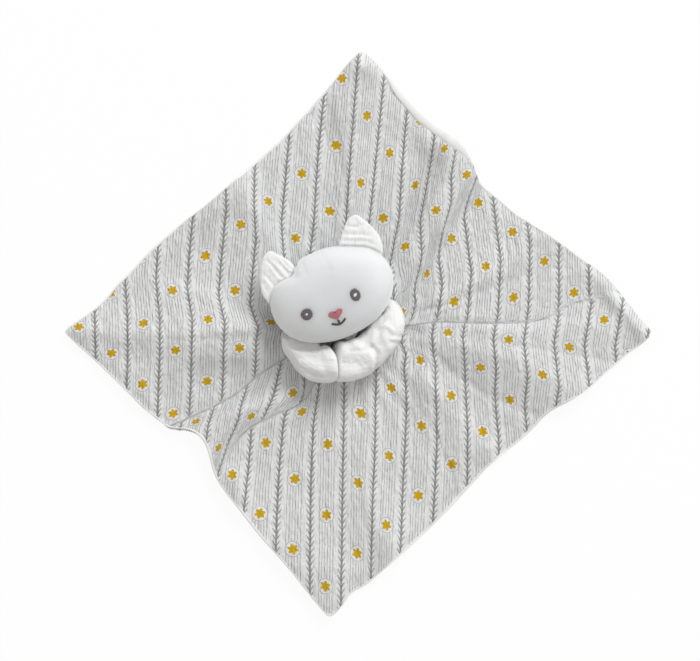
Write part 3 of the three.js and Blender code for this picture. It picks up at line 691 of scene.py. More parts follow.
def foldHeight(x, y):
    distance = np.hypot(x, y)
    turn = np.degrees(np.arctan2(y, x)) % 360
    height = np.zeros_like(distance)
    for fold in folds:
        off = turnFrom(turn, eased(fold["turn"], distance))
        across = np.abs(distance * np.radians(off))
        spread = 1 + foldForm["widening"] * (distance / foldMarks[1] - 1)
        width = np.where(off > 0, fold["left"], fold["right"]) * spread
        fade = (1 - foldForm["drop"] * smoothStep(*foldForm["outerFade"], distance)) * (np.abs(off) < 90)
        profile = np.exp(-((across / width) ** foldForm["sharpness"]))
        height += eased(fold["height"], distance) * profile * fade
    height *= smoothStep(*foldStart, distance)
    for swell in swells:
        place, lean = math.radians(swell["turn"]), math.radians(swell["lean"])
        offX, offY = x - swell["at"] * math.cos(place), y - swell["at"] * math.sin(place)
        along = offX * math.cos(lean) + offY * math.sin(lean)
        across = -offX * math.sin(lean) + offY * math.cos(lean)
        near = np.exp(-((along / swell["length"]) ** 2) - (across / swell["width"]) ** 2)
        height += swell["height"] * near
    softness = foldForm["softness"] * smoothStep(*foldStart, distance)
    height = (height + np.hypot(height, softness)) / 2  # never below the flat cloth
    for path, depth, width, start, end in creases:
        off = turnFrom(turn, crestTurn(path, distance))
        across = distance * np.radians(off)
        fade = smoothStep(start, start + 18, distance) * (1 - smoothStep(end - 22, end, distance))
        height -= depth * np.exp(-((across / width) ** 2)) * fade
    return height


def clothDetail(x, y):
    # wrinkles between the folds, and the small pleats that the neck gathers
    distance = np.hypot(x, y)
    turn = np.arctan2(y, x)
    soft = waves(x, y, 14, 22, 55, 3) * wrinkles["soft"]
    crumpled = (1 - np.abs(waves(x, y, 16, 9, 18, 5))) * wrinkles["crumpled"]
    beyondHead = smoothStep(30, 70, distance)
    spokes = waves(np.cos(turn) * 60, np.sin(turn) * 60, 10, 9, 22, 8)
    spokes = spokes * np.exp(-((distance - 35) / 45) ** 2)
    pleats = wrinkles["pleatHeight"] * np.cos(wrinkles["pleats"] * turn + 1.4 * np.sin(3 * turn))
    pleats = pleats * np.exp(-(distance - cloth["neckHole"]) / wrinkles["pleatReach"])
    return (soft + crumpled) * beyondHead + spokes * smoothStep(20, 50, distance) + pleats


def frontHeight(x, y):
    distance = np.hypot(x, y)
    rise = cloth["neckRise"] * np.exp(-(distance - cloth["neckHole"]) / cloth["neckRiseReach"])
    relief = np.maximum(foldHeight(x, y) + clothDetail(x, y), -cloth["deepest"])
    return cloth["liningLevel"] + cloth["thickness"] + relief + rise


def tuckOff(tuck, distance, turn):
    # millimetres from the tuck's line, anticlockwise
    return distance * np.radians(turnFrom(turn, crestTurn(tuck["path"], distance)))


def tuckLine(tuck, distance):
    return tuck["share"] * (1 - smoothStep(tuck["to"] - 15, tuck["to"] + 15, distance))


def flatPlace(x, y):
    # a point of the laid cloth on the flat cut
    for (atX, atY), (byX, byY), around in nudges:
        near = np.exp(-((x - atX) ** 2 + (y - atY) ** 2) / around**2)
        x, y = x + byX * near, y + byY * near
    distance = np.hypot(x, y)
    first = drawnIn[0][0]
    turn = (np.degrees(np.arctan2(y, x)) - first) % 360 + first
    table = np.array(drawnIn + ((first + 360, *drawnIn[0][1:]),))
    strips = []
    ends = [(tuck["path"][-1][1] - first) % 360 + first for tuck in tucks]
    for last in ends:
        beyond = np.argmax(table[:, 0] > last)
        strips.append(table[beyond, 1:] - table[beyond - 1, 1:])
        table[beyond:, 1:] -= strips[-1]
    further = (distance - 110) / 60
    shifts = [np.interp(turn, table[:, 0], table[:, column]) for column in range(1, 5)]
    for tuck, strip, last in zip(tucks, strips, ends):
        off = tuckOff(tuck, distance, turn)
        passed = np.where(turn > last, 1.0, 0.0)
        near = np.abs(off) < 25
        sharp = tuckLine(tuck, distance)
        drawn = sharp * smoothStep(-0.5, 0.5, off) + (1 - sharp) * smoothStep(*tuck["soft"], off)
        passed = np.where(near, drawn, passed)
        shifts = [shift + part * passed for shift, part in zip(shifts, strip)]
    across, up = cloth["printShift"]
    return np.stack([
        x - across - shifts[0] - shifts[2] * further, y - up - shifts[1] - shifts[3] * further
    ], -1)


def inkShown(x, y):
    # a closing tuck hides up to 70% of the ink on its line
    distance = np.hypot(x, y)
    turn = np.degrees(np.arctan2(y, x)) % 360
    hidden = np.zeros_like(distance)
    for tuck in tucks:
        closing = np.exp(-((tuckOff(tuck, distance, turn) / 1.5) ** 2))
        hidden = np.maximum(hidden, np.minimum(1, 1.3 * tuckLine(tuck, distance)) * closing)
    return 1 - 0.7 * hidden


outline = clothOutline()
rays = len(outline)
reach = np.hypot(outline[:, 0], outline[:, 1])
direction = outline / reach[:, None]
sideShare = (np.arange(rays) / cloth["raysPerSide"]) - 3  # 0 to 1 along the upper right side
rolled = smoothStep(0.6, 0.68, sideShare) * (1 - smoothStep(0.86, 0.95, sideShare))
inset = cloth["seamInset"] + (cloth["rolledInset"] - cloth["seamInset"]) * rolled
inset = inset + 0.25 * waves(outline[:, 0], outline[:, 1], 8, 12, 40, 21)
seamReach = reach - inset


def liningHeight(x, y, edgeShare):
    # the lining follows the folds a little, and nearly wholly where it is sewn to the front
    lift = np.maximum(foldHeight(x, y) + clothDetail(x, y), 0)
    return lift * (0.25 + 0.72 * edgeShare)


def edgeThinning(fromSeam):
    # the two cloths close on each other at the edge
    return cloth["edgeThinning"] * np.exp(-((fromSeam / 6) ** 2))


def makeFront():
    share = (np.arange(cloth["rings"] + 1) / cloth["rings"])[:, None]
    share = 0.8 * share + 0.2 * share**2 * (3 - 2 * share)  # rings lie closer at both ends
    distance = cloth["neckHole"] + (seamReach[None, :] - cloth["neckHole"]) * share
    # the mesh follows the tucks
    turn = np.arctan2(direction[:, 1], direction[:, 0])[None, :] + 0 * distance
    for tuck in tucks:
        last = tuck["path"][-1][1]
        near = np.exp(-((turnFrom(np.degrees(turn), last) / 9) ** 2))
        turn = turn + np.radians(crestTurn(tuck["path"], distance) - last) * near
    x, y = distance * np.cos(turn), distance * np.sin(turn)
    z = frontHeight(x, y) - edgeThinning(seamReach[None, :] - distance)
    # flat under the head and the arms, which lie on it
    under = np.exp(-((np.hypot(x, y) / cloth["underHead"]) ** 6))
    z = np.where(under > 0.02, np.minimum(z, cloth["pressedLevel"] + (1 - under) * 12), z)
    points = np.stack([x, y, z], -1).reshape(-1, 3)
    flat = flatPlace(x, y).reshape(-1, 2)
    shown = inkShown(x, y)
    faces = gridFaces(cloth["rings"] + 1, rays, flip=True)
    front = meshPiece("clothFront", points, faces, flat, shown)
    front.data.materials.append(gauzePrint)
    return front, z[-1]


def makeLining(frontEdge):
    # underside from the middle out, round the edge, and back to the seam on top
    count = cloth["liningRings"]
    width = (inset + 1.5) / 2
    centre = reach - width
    rows = []
    for ring in range(1, count + 1):
        share = ring / count
        distance = centre * share
        x, y = direction[:, 0] * distance, direction[:, 1] * distance
        edge = smoothStep(0, 1, 1 - (centre - distance) / 22)
        rows.append(np.stack([x, y, liningHeight(x, y, edge)], -1))
    bottom = rows[-1][:, 2]
    top = frontEdge + 0.12 + cloth["rolledRise"] * rolled
    level = (top + bottom) / 2
    half = (top - bottom) / 2
    for step in range(1, cloth["hemRings"] + 1):
        angle = math.radians(-90 + 250 * step / cloth["hemRings"])
        distance = centre + width * math.cos(angle)
        z = level + half * math.sin(angle)
        rows.append(np.stack([direction[:, 0] * distance, direction[:, 1] * distance, z], -1))
    ring = np.concatenate(rows)
    points = np.vstack([[[0, 0, 0]], ring])
    flat = points[:, :2].copy()
    for step in range(cloth["hemRings"]):  # the knit keeps its size round the edge
        start = 1 + (count + step) * rays
        flat[start : start + rays] = direction * (centre + 0.9 * (step + 1))[:, None]
    faces = gridFaces(count + cloth["hemRings"], rays, 1)
    faces += [(0, 1 + (i + 1) % rays, 1 + i) for i in range(rays)]
    lining = meshPiece("clothLining", points, faces, flat)
    lining.data.materials.append(liningWhite)
    return lining


front, frontEdge = makeFront()
lining = makeLining(frontEdge)
for piece, node, slot in ((front, "blanket_front", "printed_gauze"), (lining, "blanket_lining", "lining")):
    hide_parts(node)
    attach(piece, "root")
print("cloth is laid out")


# Neck

neck = {
    "radius": 9,
    "top": 20.5,
    "floor": 1.3,
    "columns": 480,
    "rows": 40,
    "sideShare": 0.85,  # of the rows; the others close the top
    "pleats": 40,
    "pleatDepth": 0.5,
    "waist": 0.8,
    "waistLevel": 6.4,
    "thread": 1.2,
    "drawnIn": 1.3,  # under the chin, where the paws press
    "clearance": 1.8,  # below the head
}


def makeNeck():
    # a pleated stub of the cloth, that closes at its top inside the head
    columns, rows = neck["columns"], neck["rows"]
    angle = np.arange(columns) / columns * 2 * math.pi
    points, flat = [], []
    for row in range(rows + 1):
        share = row / rows
        z = neck["floor"] + (neck["top"] - neck["floor"]) * min(1, share / neck["sideShare"])
        waist = neck["waist"] * math.exp(-(((z - neck["waistLevel"]) / 2.6) ** 2))
        base = neck["radius"] - waist - neck["drawnIn"] * float(smoothStep(11, 19, z))
        closing = max(0, (share - neck["sideShare"]) / (1 - neck["sideShare"]))
        base *= math.sqrt(max(0.0, 1 - closing**2.5))
        pleat = neck["pleatDepth"] * np.cos(neck["pleats"] * angle + 0.8 * np.sin(2 * angle))
        radius = np.maximum(base + pleat * min(1, base / 4), 0.02)
        points += list(np.stack([radius * np.cos(angle), radius * np.sin(angle), np.full(columns, z)], 1))
        spread = 28 - 0.9 * z
        flat += list(np.stack([spread * np.cos(angle), spread * np.sin(angle)], 1))
    points = clearOfHead(np.array(points), neck["clearance"])
    neckPiece = meshPiece("neckPleats", points, gridFaces(rows + 1, columns), flat)
    neckPiece.data.materials.append(gauzePrint)
    return neckPiece


def deselectAll():
    if bpy.context.object and bpy.context.object.mode != "OBJECT":
        bpy.ops.object.mode_set(mode="OBJECT")
    bpy.ops.object.select_all(action="DESELECT")


def settle(piece, name, material):
    # a finished piece keeps its place in its mesh
    deselectAll()
    piece.select_set(True)
    bpy.context.view_layer.objects.active = piece
    bpy.ops.object.transform_apply(location=True, rotation=True, scale=True)
    piece.name = name
    piece.data.name = name
    piece.data.materials.clear()
    piece.data.materials.append(material)
    bpy.ops.object.shade_smooth()
    return piece


def makeNeckThread():
    deselectAll()
    low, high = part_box("neck_stitching")
    bpy.ops.mesh.primitive_torus_add(
        location=(low + high) / 2, major_radius=(high.x - low.x - neck["thread"] * mm) / 2,
        minor_radius=neck["thread"] / 2 * mm, major_segments=160, minor_segments=14,
    )
    thread = bpy.context.object
    for vertex in thread.data.vertices:  # the twist of the thread
        turn = math.atan2(vertex.co.y, vertex.co.x)
        swell = 1 + 0.05 * math.cos(80 * turn + vertex.co.z / mm * 3)
        vertex.co.z *= swell
    return settle(thread, "neckThread", threadSewing)


thread = makeNeckThread()
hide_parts("neck_stitching")
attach(thread, "root")
print("neck thread is wound")


# Head

head = {
    "width": 91,
    "height": 65,
    "depth": 44,
    "faceDepth": 20,  # of the front half: the face lies flatter than the back
    "faceCrown": 3.3,
    "squareness": 2.15,
    "crown": 2.3,
    "pressed": 0.86,  # share of the back's depth that is pressed in over the arms
    "bulge": (45, 32, 22),  # half sizes of the ball that the small lumps stand out from
    "seamPuckers": 62,
    "neckGathers": 22,
    "tilt": 22,
    "rise": 27.2,  # from the neck to the middle of the face
    "middle": 27.5,  # of the head over the floor
    "rings": 70,
    "rays": 240,
    "neckOpening": 11.4,
    "openingTop": 17.4,
    "turnReach": 12,  # degrees that the head turns on the neck, each way
    # direction, depth and width in degrees
    "dents": ((135, 6.4, 10.5), (121, 2.0, 8), (48, 2.0, 17), (-26, 1.3, 20)),
    # soft hollows and ridges on the face: path over the cloth, depth and half width
    "marks": (
        (((-31.3, 46.5), (-30.8, 43.9), (-30, 40)), 0.7, 1.3),
        (((-34.6, 46), (-33.9, 43.5), (-32.9, 40.5)), -0.5, 1.0),
        (((-18.5, 54), (-15.5, 48.5), (-12.3, 43)), 0.45, 2.2),
        (((-23, 53), (-21, 48), (-19, 43)), 0.3, 2.2),
    ),
}
tilt = math.radians(head["tilt"])
headTurn = np.array([[math.cos(tilt), -math.sin(tilt)], [math.sin(tilt), math.cos(tilt)]])


def toRow(local):
    # from the head's own frame (along the eyes, up the face, out of it) to the object's
    local = np.asarray(local, float)
    flat = local[..., :2] @ headTurn.T
    return np.concatenate([flat, local[..., 2:] + head["middle"]], -1)


def toHead(place):
    place = np.asarray(place, float)
    flat = place[..., :2] @ headTurn
    return np.concatenate([flat, place[..., 2:] - head["middle"]], -1)


def outlineRadius(angle):
    power = head["squareness"]
    return 1 / (
        (np.abs(np.cos(angle)) / (head["width"] / 2)) ** power
        + (np.abs(np.sin(angle)) / (head["height"] / 2)) ** power
    ) ** (1 / power)


def headOutline(angle):
    # the panel's edge, drawn in where an ear pulls at it or an arm presses
    turn = np.degrees(angle)
    drawn = sum(
        depth * np.exp(-((turnFrom(turn, at) / width) ** 2)) for at, depth, width in head["dents"]
    )
    return outlineRadius(angle) - drawn


def headShare(u, v):
    # what draws in the outline hardly reaches the middle of the face
    angle = np.arctan2(v, u)
    edge, full = headOutline(angle), outlineRadius(angle)
    share = np.hypot(u, v) / edge
    return np.hypot(u, v) / (full - (full - edge) * np.minimum(share, 1) ** 5)


def faceHeight(u, v):
    # over the seam, at a place measured from the middle of the face
    return head["faceDepth"] * np.sqrt(np.maximum(0, 1 - headShare(u, v) ** head["faceCrown"]))


def backHeight(u, v):
    # under the seam; the back is pressed in where the arms lie, at both sides of the neck
    share = headShare(u, v)
    besideNeck = smoothStep(9, 18, np.hypot(u, v + head["rise"]))
    pressed = smoothStep(0.6, 0.86, share) * besideNeck * smoothStep(2, 12, -v)
    full = head["depth"] / 2 * np.sqrt(np.maximum(0, 1 - share ** head["crown"]))
    return full * (1 - head["pressed"] * pressed)


def clearOfHead(points, gap):
    # what lies under the head gives way to it, wherever it turns
    points = points.copy()
    for turned in np.radians(np.arange(-head["turnReach"], head["turnReach"] + 1, 3)):
        cos, sin = math.cos(turned), math.sin(turned)
        local = toHead(points @ np.array([[cos, -sin, 0], [sin, cos, 0], [0, 0, 1]]))
        u, v = local[:, 0], local[:, 1] - head["rise"]
        under = np.minimum(points[:, 2], head["middle"] - backHeight(u, v) - gap)
        covered = headShare(0.98 * u, 0.98 * v) < 1  # also just outside the outline
        points[:, 2] = np.where(covered, under, points[:, 2])
    return points


def markDepth(x, y, marks):
    # how deep the marks press in at a place: each follows a path, with a depth and a half width
    total = np.zeros_like(np.asarray(x, float))
    for path, depth, width in marks:
        nearest = np.full_like(total, 1e6)
        for (ax, ay), (bx, by) in zip(path, path[1:]):
            alongX, alongY = bx - ax, by - ay
            share = ((x - ax) * alongX + (y - ay) * alongY) / (alongX**2 + alongY**2)
            share = np.clip(share, 0, 1)
            nearest = np.minimum(nearest, np.hypot(x - ax - share * alongX, y - ay - share * alongY))
        total += depth * np.exp(-((nearest / width) ** 2))
    return total


def headDetail(u, v, w):
    # soft hollows of the stuffing, and the shallow creases beside the ear
    lumps = waves(u + 0.6 * w, v - 0.4 * w, 10, 26, 60, 31) * 0.25
    over = toRow(np.stack([u, v + head["rise"], w], -1))
    return lumps - markDepth(over[:, 0], over[:, 1], head["marks"]) * (w > 0)


def shellRings(rings):
    # from the middle of the front over the edge to the middle of the back: side, ring, and how far
    # out it lies
    for side in (1, -1):
        order = range(0, rings + 1) if side > 0 else range(rings - 1, -1, -1)
        for ring in order:
            yield side, ring, math.sin(ring / rings * math.pi / 2)


def makeHead():
    rings, count = head["rings"], head["rays"]
    angle = np.arange(count) / count * 2 * math.pi
    edge = headOutline(angle)
    rows = []
    for side, ring, share in shellRings(rings):
        u, v = share * edge * np.cos(angle), share * edge * np.sin(angle)
        w = faceHeight(u, v) if side > 0 else -backHeight(u, v)
        lean = np.stack([u, v, w], -1) / np.array(head["bulge"])
        lean /= np.maximum(np.linalg.norm(lean, axis=1), 1e-6)[:, None]
        place = np.stack([u, v, w], -1) + lean * headDetail(u, v, w)[:, None]
        # the seam: a narrow groove with small puckers beside it
        fromSeam = np.hypot((1 - share) * edge, w)
        groove = 0.7 * np.exp(-((fromSeam / 1.1) ** 2))
        pucker = 0.28 * np.cos(angle * head["seamPuckers"]) * np.exp(-((fromSeam / 4) ** 2))
        place[:, :2] *= (1 - (groove - pucker * 0.6) / edge)[:, None]
        place[:, 1] += head["rise"]
        rows.append(place[:1] if ring == 0 else place)
    points = toRow(np.vstack(rows))
    # the opening under the chin, drawn together round the neck
    distance = np.hypot(points[:, 0], points[:, 1])
    below = points[:, 2] < head["middle"]
    inside = below & (distance < head["neckOpening"])
    points[inside, 2] = np.maximum(points[inside, 2], head["openingTop"])
    turn = np.arctan2(points[:, 1], points[:, 0])
    gather = 0.5 * np.cos(head["neckGathers"] * turn) * np.exp(-((distance - head["neckOpening"]) / 6) ** 2)
    points[below & ~inside, 2] += gather[below & ~inside]
    return meshPiece("headPlush", points, closedFaces(2 * rings - 1, count))


plush = makeHead()
plush.data.materials.append(velour)
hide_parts("head_face", "head_back", "head_filling")
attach(plush, "head")
print("head is stuffed")


# Ears

ears = {
    "thickness": 3.0,
    "rings": 40,
    "outlinePoints": 200,
    "seamWidth": 1.2,
    "tuckedIn": 5,  # how far the sewn side runs on inside the head
    "backApart": 200,  # between the cuts of the front and the back on the gauze
    "seamTurn": 53,  # degrees from the top of the head to the middle of either ear's seam
    "blended": (-1.0, 5.0),  # two distances from the head's outline
    # each edge runs over the cloth from the seam round the tip and back; the marks are its pleats
    "left": {
        "seamGroove": 0.9,
        "pleated": 0.7,
        "edge": (
            (-33, 43.0), (-36.9, 43.9), (-39.5, 47.1), (-41.7, 48.8), (-44.6, 50.7), (-46.8, 52.2),
            (-49.7, 53.3), (-51.4, 54.4), (-53.4, 55.6), (-55.3, 55.4), (-57.3, 54.1), (-59, 52.2),
            (-60.4, 49.4), (-61, 45.1), (-61.6, 41.1), (-61.7, 35.4), (-61.6, 29.8), (-61, 26.1),
            (-59.3, 22.7), (-57.3, 20.1), (-54.6, 17.6), (-51, 17),
        ),
        "marks": (
            (((-55.3, 45.6), (-51.9, 40), (-49.1, 36.3), (-45.7, 34.6)), -0.9, 1.3),
            (((-57.3, 48.8), (-54.5, 46.2), (-50.5, 41.1), (-46.8, 36.9)), 1.0, 1.2),
            (((-53.1, 47.3), (-48.5, 42.8), (-45.7, 39.4), (-42.6, 36.3)), -1.0, 1.3),
            (((-48.5, 47), (-46.8, 45.1), (-44.6, 42.5), (-42.3, 40)), 1.0, 1.2),
            (((-48.5, 50.2), (-44, 44.8), (-41.2, 41.7)), -0.9, 1.2),
            (((-46.3, 49), (-42.3, 44.5)), 0.6, 1.0),
            (((-46.8, 51.4), (-40, 45.8), (-37.6, 43.4)), -0.7, 1.2),
            (((-59.6, 38.8), (-57.3, 36.9), (-54.5, 33.7), (-51.9, 30.3)), 1.1, 1.4),
            (((-58.2, 35.7), (-55.9, 32.3), (-53.1, 29.2)), -0.8, 1.3),
            (((-59.9, 32), (-58.2, 28.4), (-55.9, 25.5)), 0.6, 1.2),
        ),
    },
    "right": {
        "seamGroove": 1.6,
        "pleated": 0.85,
        "edge": (
            (22.5, 49.5), (25.1, 52.2), (25.4, 55.4), (25.3, 58.6), (24.4, 62.9), (22.8, 66.8), (20, 70.4),
            (17.4, 73.2), (14.3, 76), (11.5, 78.3), (9.2, 80.1), (7.2, 81.2), (5.1, 81.3), (2.6, 79.9),
            (0.3, 77.6), (-1.3, 74), (-3.1, 69.1), (-5.4, 62.2), (-6.6, 58.4), (-5, 55),
        ),
        "marks": (
            (((-1.5, 73), (2.5, 72.9), (6.1, 72.6)), 1.0, 1.2),
            (((6.1, 72.6), (9, 73.6), (12.3, 74.6)), 0.5, 1.1),
            (((0, 70.5), (12, 71)), -0.4, 1.5),
            (((-3.5, 67.6), (0, 67.4), (5.6, 67.5), (11, 67.2)), 0.8, 1.3),
            (((-3.9, 65.3), (3, 65), (10.5, 65.2), (18, 64)), -0.7, 1.4),
            (((-5, 62.8), (4, 62.9), (12, 62.4), (19, 60.6)), 0.5, 1.3),
        ),
    },
}


def smoothCurve(points, count):
    # a smooth curve through the points, in even steps over the cloth
    points = np.asarray(points, float)
    fine = []
    for i in range(len(points) - 1):
        before, after = points[max(i - 1, 0)], points[min(i + 2, len(points) - 1)]
        for t in np.arange(16) / 16:
            fine.append(0.5 * (
                2 * points[i] + (points[i + 1] - before) * t
                + (2 * before - 5 * points[i] + 4 * points[i + 1] - after) * t**2
                + (3 * points[i] - before - 3 * points[i + 1] + after) * t**3
            ))
    fine = np.array(fine + [points[-1]])
    length = np.concatenate([[0], np.cumsum(np.hypot(*np.diff(fine[:, :2], axis=0).T))])
    wanted = np.linspace(0, length[-1], count)
    return wanted, np.stack([np.interp(wanted, length, column) for column in fine.T], 1)


def earEdge(name):
    # the free edge, measured from the middle of the face, and the sewn side, that follows the head's
    # outline just inside it
    free = smoothCurve(ears[name]["edge"], ears["outlinePoints"] * 3 // 4)[1]
    free = toHead(np.column_stack([free, np.zeros(len(free))]))[:, :2] - [0, head["rise"]]
    start, end = free[-1], free[0]
    fromAngle, toAngle = math.atan2(start[1], start[0]), math.atan2(end[1], end[0])
    steps = ears["outlinePoints"] - len(free)
    sewn = []
    for step in range(1, steps + 1):
        angle = fromAngle + (toAngle - fromAngle) * step / (steps + 1)
        way = np.array([math.cos(angle), math.sin(angle)])
        sewn.append(way * (headOutline(angle) - ears["tuckedIn"]))
    edge = np.vstack([free, sewn])
    area = edge[:, 0] * np.roll(edge[:, 1], -1) - np.roll(edge[:, 0], -1) * edge[:, 1]
    return edge if area.sum() >= 0 else edge[::-1]  # anticlockwise


def makeEar(name):
    look = ears[name]
    edge = earEdge(name)
    middle = edge.mean(0)
    points, flat = [], []
    for side, ring, share in shellRings(ears["rings"]):
        place = middle + (edge - middle) * share
        if ring == 0:
            place = place[:1]
        x, y, level = toRow(np.column_stack([place + [0, head["rise"]], np.zeros(len(place))])).T
        half = ears["thickness"] / 2 * (1 - share**7) ** 0.5 * 1.15
        pressed = markDepth(x, y, look["marks"]) * look["pleated"] * (1 if side > 0 else -0.5)
        fine = 0.18 * waves(x, y, 10, 3.5, 8, 41)
        outside = np.hypot(place[:, 0], place[:, 1]) - headOutline(np.arctan2(place[:, 1], place[:, 0]))
        groove = look["seamGroove"] * np.exp(-((np.maximum(outside, 0) / ears["seamWidth"]) ** 2))
        rim = 0.25 * waves(x, y, 6, 6, 14, 43) * share**4
        w = side * np.maximum(half + (fine - pressed) * (1 - share**6), 0.05) + rim - groove
        points.append(np.column_stack([x, y, level + w]))
        flat.append(np.column_stack([x, y]) + (0 if side > 0 else ears["backApart"]))
    faces = closedFaces(2 * ears["rings"] - 1, len(edge))
    ear = meshPiece("ear" + name.capitalize(), np.vstack(points), faces, np.vstack(flat))
    ear.data.materials.append(gauzeWhite)
    return ear


for side in ("left", "right"):
    ear = makeEar(side)
    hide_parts(f"ear_{side}_front", f"ear_{side}_back")
    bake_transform(ear)
print("ears are sewn in")


# Embroidered face

# places are measured from the middle of the face, along the eyes and down towards the chin
face = {
    "shift": -3.4,
    "eyeShift": -4.0,
    "eyeSpacing": 37.1,
    "eyeDrop": 7.0,
    "eyes": {"left": (9.1, 8.8), "right": (7.9, 9.6)},
    "eyeStitches": 54,
    "eyeOpening": 0.16,  # share of the eye where its stitches start
    "glints": {"left": (1.7, 1.6, 0), "right": (2.7, 2.3, 0.3)},  # width, height and how it leans
    "noseDrop": 15.3,
    "noseSize": (10.7, 8),
    "notchFill": 0.5,
    "knot": 1.5,
    "mouthDrop": 22.1,
    "mouthWidth": 10.2,
    "mouthLift": 2.2,
    "stemReach": 0.3844,  # share of the nose's height
    "stroke": 1.8,
    "threadWidth": 0.42,
}


def makeStitch():
    # a straight thread, a millimetre long and wide, in six lengths that can bend
    deselectAll()
    bpy.ops.mesh.primitive_cylinder_add(
        vertices=6, radius=0.5 * mm, depth=1 * mm, rotation=(0, math.pi / 2, 0)
    )
    stitch = bpy.context.object
    bpy.ops.object.transform_apply(location=False, rotation=True, scale=False)
    bpy.ops.object.mode_set(mode="EDIT")
    bpy.ops.mesh.select_all(action="DESELECT")
    shape = bmesh.from_edit_mesh(stitch.data)
    for edge in shape.edges:
        a, b = (vertex.co for vertex in edge.verts)
        edge.select = abs(a.x - b.x) > 0.9 * mm
    bmesh.update_edit_mesh(stitch.data)
    bpy.ops.mesh.subdivide(number_cuts=5)
    bpy.ops.object.mode_set(mode="OBJECT")
    return stitch


def stitchesOver(name, lines, material, lift, width=None, arch=0.35):
    # lays a copy of the thread along each line, over the curve of the face, so that it swells at its
    # middle and dives at its ends
    width = width or face["threadWidth"]
    master = makeStitch()
    copies = []
    for start, end in lines:
        start, end = np.array(start, float), np.array(end, float)
        along = (end - start) / max(np.linalg.norm(end - start), 1e-6)
        across = np.array([-along[1], along[0]])
        copy = master.copy()
        copy.data = master.data.copy()
        bpy.context.scene.collection.objects.link(copy)
        for vertex in copy.data.vertices:
            share = vertex.co.x / mm + 0.5
            swell = math.sqrt(max(0.0, 1 - (2 * share - 1) ** 4)) * 0.75 + 0.25
            flat = start + (end - start) * share + across * (vertex.co.y / mm) * width * 2 * swell * 0.56
            over = (vertex.co.z / mm) * width * swell
            rise = lift + arch * (1 - (2 * share - 1) ** 2) + over
            w = float(faceHeight(flat[0], flat[1])) + rise
            vertex.co = Vector(toRow([flat[0], flat[1] + head["rise"], w]) * mm)
        copies.append(copy)
    bpy.data.objects.remove(master)
    deselectAll()
    for copy in copies:
        copy.select_set(True)
    bpy.context.view_layer.objects.active = copies[0]
    bpy.ops.object.join()
    return settle(bpy.context.object, name, material)


def ringStitches(middle, size, inner, count, seed):
    draw = np.random.default_rng(seed)
    lines = []
    for step in range(count):
        angle = (step + draw.uniform(-0.2, 0.2)) / count * 2 * math.pi
        way = np.array([math.cos(angle) * size[0] / 2, math.sin(angle) * size[1] / 2])
        reach = draw.uniform(0.96, 1.03)
        lines.append((middle + way * inner, middle + way * reach))
    return lines


def filledStitches(low, high, left, right, pitch, seed, slant=0.0):
    # stitches side by side from the lower to the upper edge of a form
    draw = np.random.default_rng(seed)
    lines = []
    for x in np.arange(left + pitch / 2, right, pitch):
        bottom, top = low(x), high(x)
        if top - bottom > 0.5:
            start = (x - slant, bottom + draw.uniform(-0.12, 0.12))
            lines.append((start, (x + slant, top + draw.uniform(-0.12, 0.12))))
    return lines


def moved(lines, by):
    return [(np.array(a) + by, np.array(b) + by) for a, b in lines]


def makeEye(side):
    # a ring of stitches that run in to its middle, and a white glint over them
    sign = -1 if side == "left" else 1
    middle = np.array([face["eyeShift"] + sign * face["eyeSpacing"] / 2, -face["eyeDrop"]])
    seed = 51 if sign < 0 else 52
    lines = ringStitches(middle, face["eyes"][side], face["eyeOpening"], face["eyeStitches"], seed)
    eye = stitchesOver("eye" + side.capitalize(), lines, threadGrey, 0.25)
    width, height, lean = face["glints"][side]

    def half(x):
        return height / 2 * math.sqrt(max(0, 1 - (2 * x / width) ** 2))

    lines = filledStitches(
        lambda x: lean * x - half(x), lambda x: lean * x + half(x), -width / 2, width / 2, 0.36, 53
    )
    name = "eye" + side.capitalize() + "Glint"
    glint = stitchesOver(name, moved(lines, middle), threadWhite, 0.75, 0.4, 0.15)
    return [(eye, f"eye_{side}", "grey_stitching"), (glint, f"eye_{side}_glint", "white_stitching")]


def makeNose():
    # a heart filled with upright stitches, and a dark knot where its two halves meet
    width, height = face["noseSize"]
    t = np.linspace(0, math.pi, 200)
    across = np.sin(t) ** 2.5 * width / 2
    up = (13 * np.cos(t) - 5 * np.cos(2 * t) - 2 * np.cos(3 * t) - np.cos(4 * t) + 2.5) / 29 * height
    turning = int(np.argmax(across))

    def upper(x):
        notch = face["notchFill"] * math.exp(-((x / 1.5) ** 2))
        return float(np.interp(abs(x), across[: turning + 1], up[: turning + 1]) + notch)

    def lower(x):
        return float(np.interp(abs(x), across[turning:][::-1], up[turning:][::-1]))

    middle = np.array([face["shift"], -face["noseDrop"]])
    lines = moved(filledStitches(lower, upper, -width / 2, width / 2, 0.4, 54, 0.25), middle)
    nose = stitchesOver("noseHeart", lines, threadRose, 0.25, 0.4, 0.4)
    size, top = face["knot"], upper(0) - 0.2
    lines = moved([((-size / 2, top + off), (size / 2, top - off)) for off in (-0.3, 0, 0.3)], middle)
    knot = stitchesOver("noseKnot", lines, threadDark, 1.0, 0.42, 0.3)
    return [(nose, "nose", "rose_stitching"), (knot, None, "dark_stitching")]


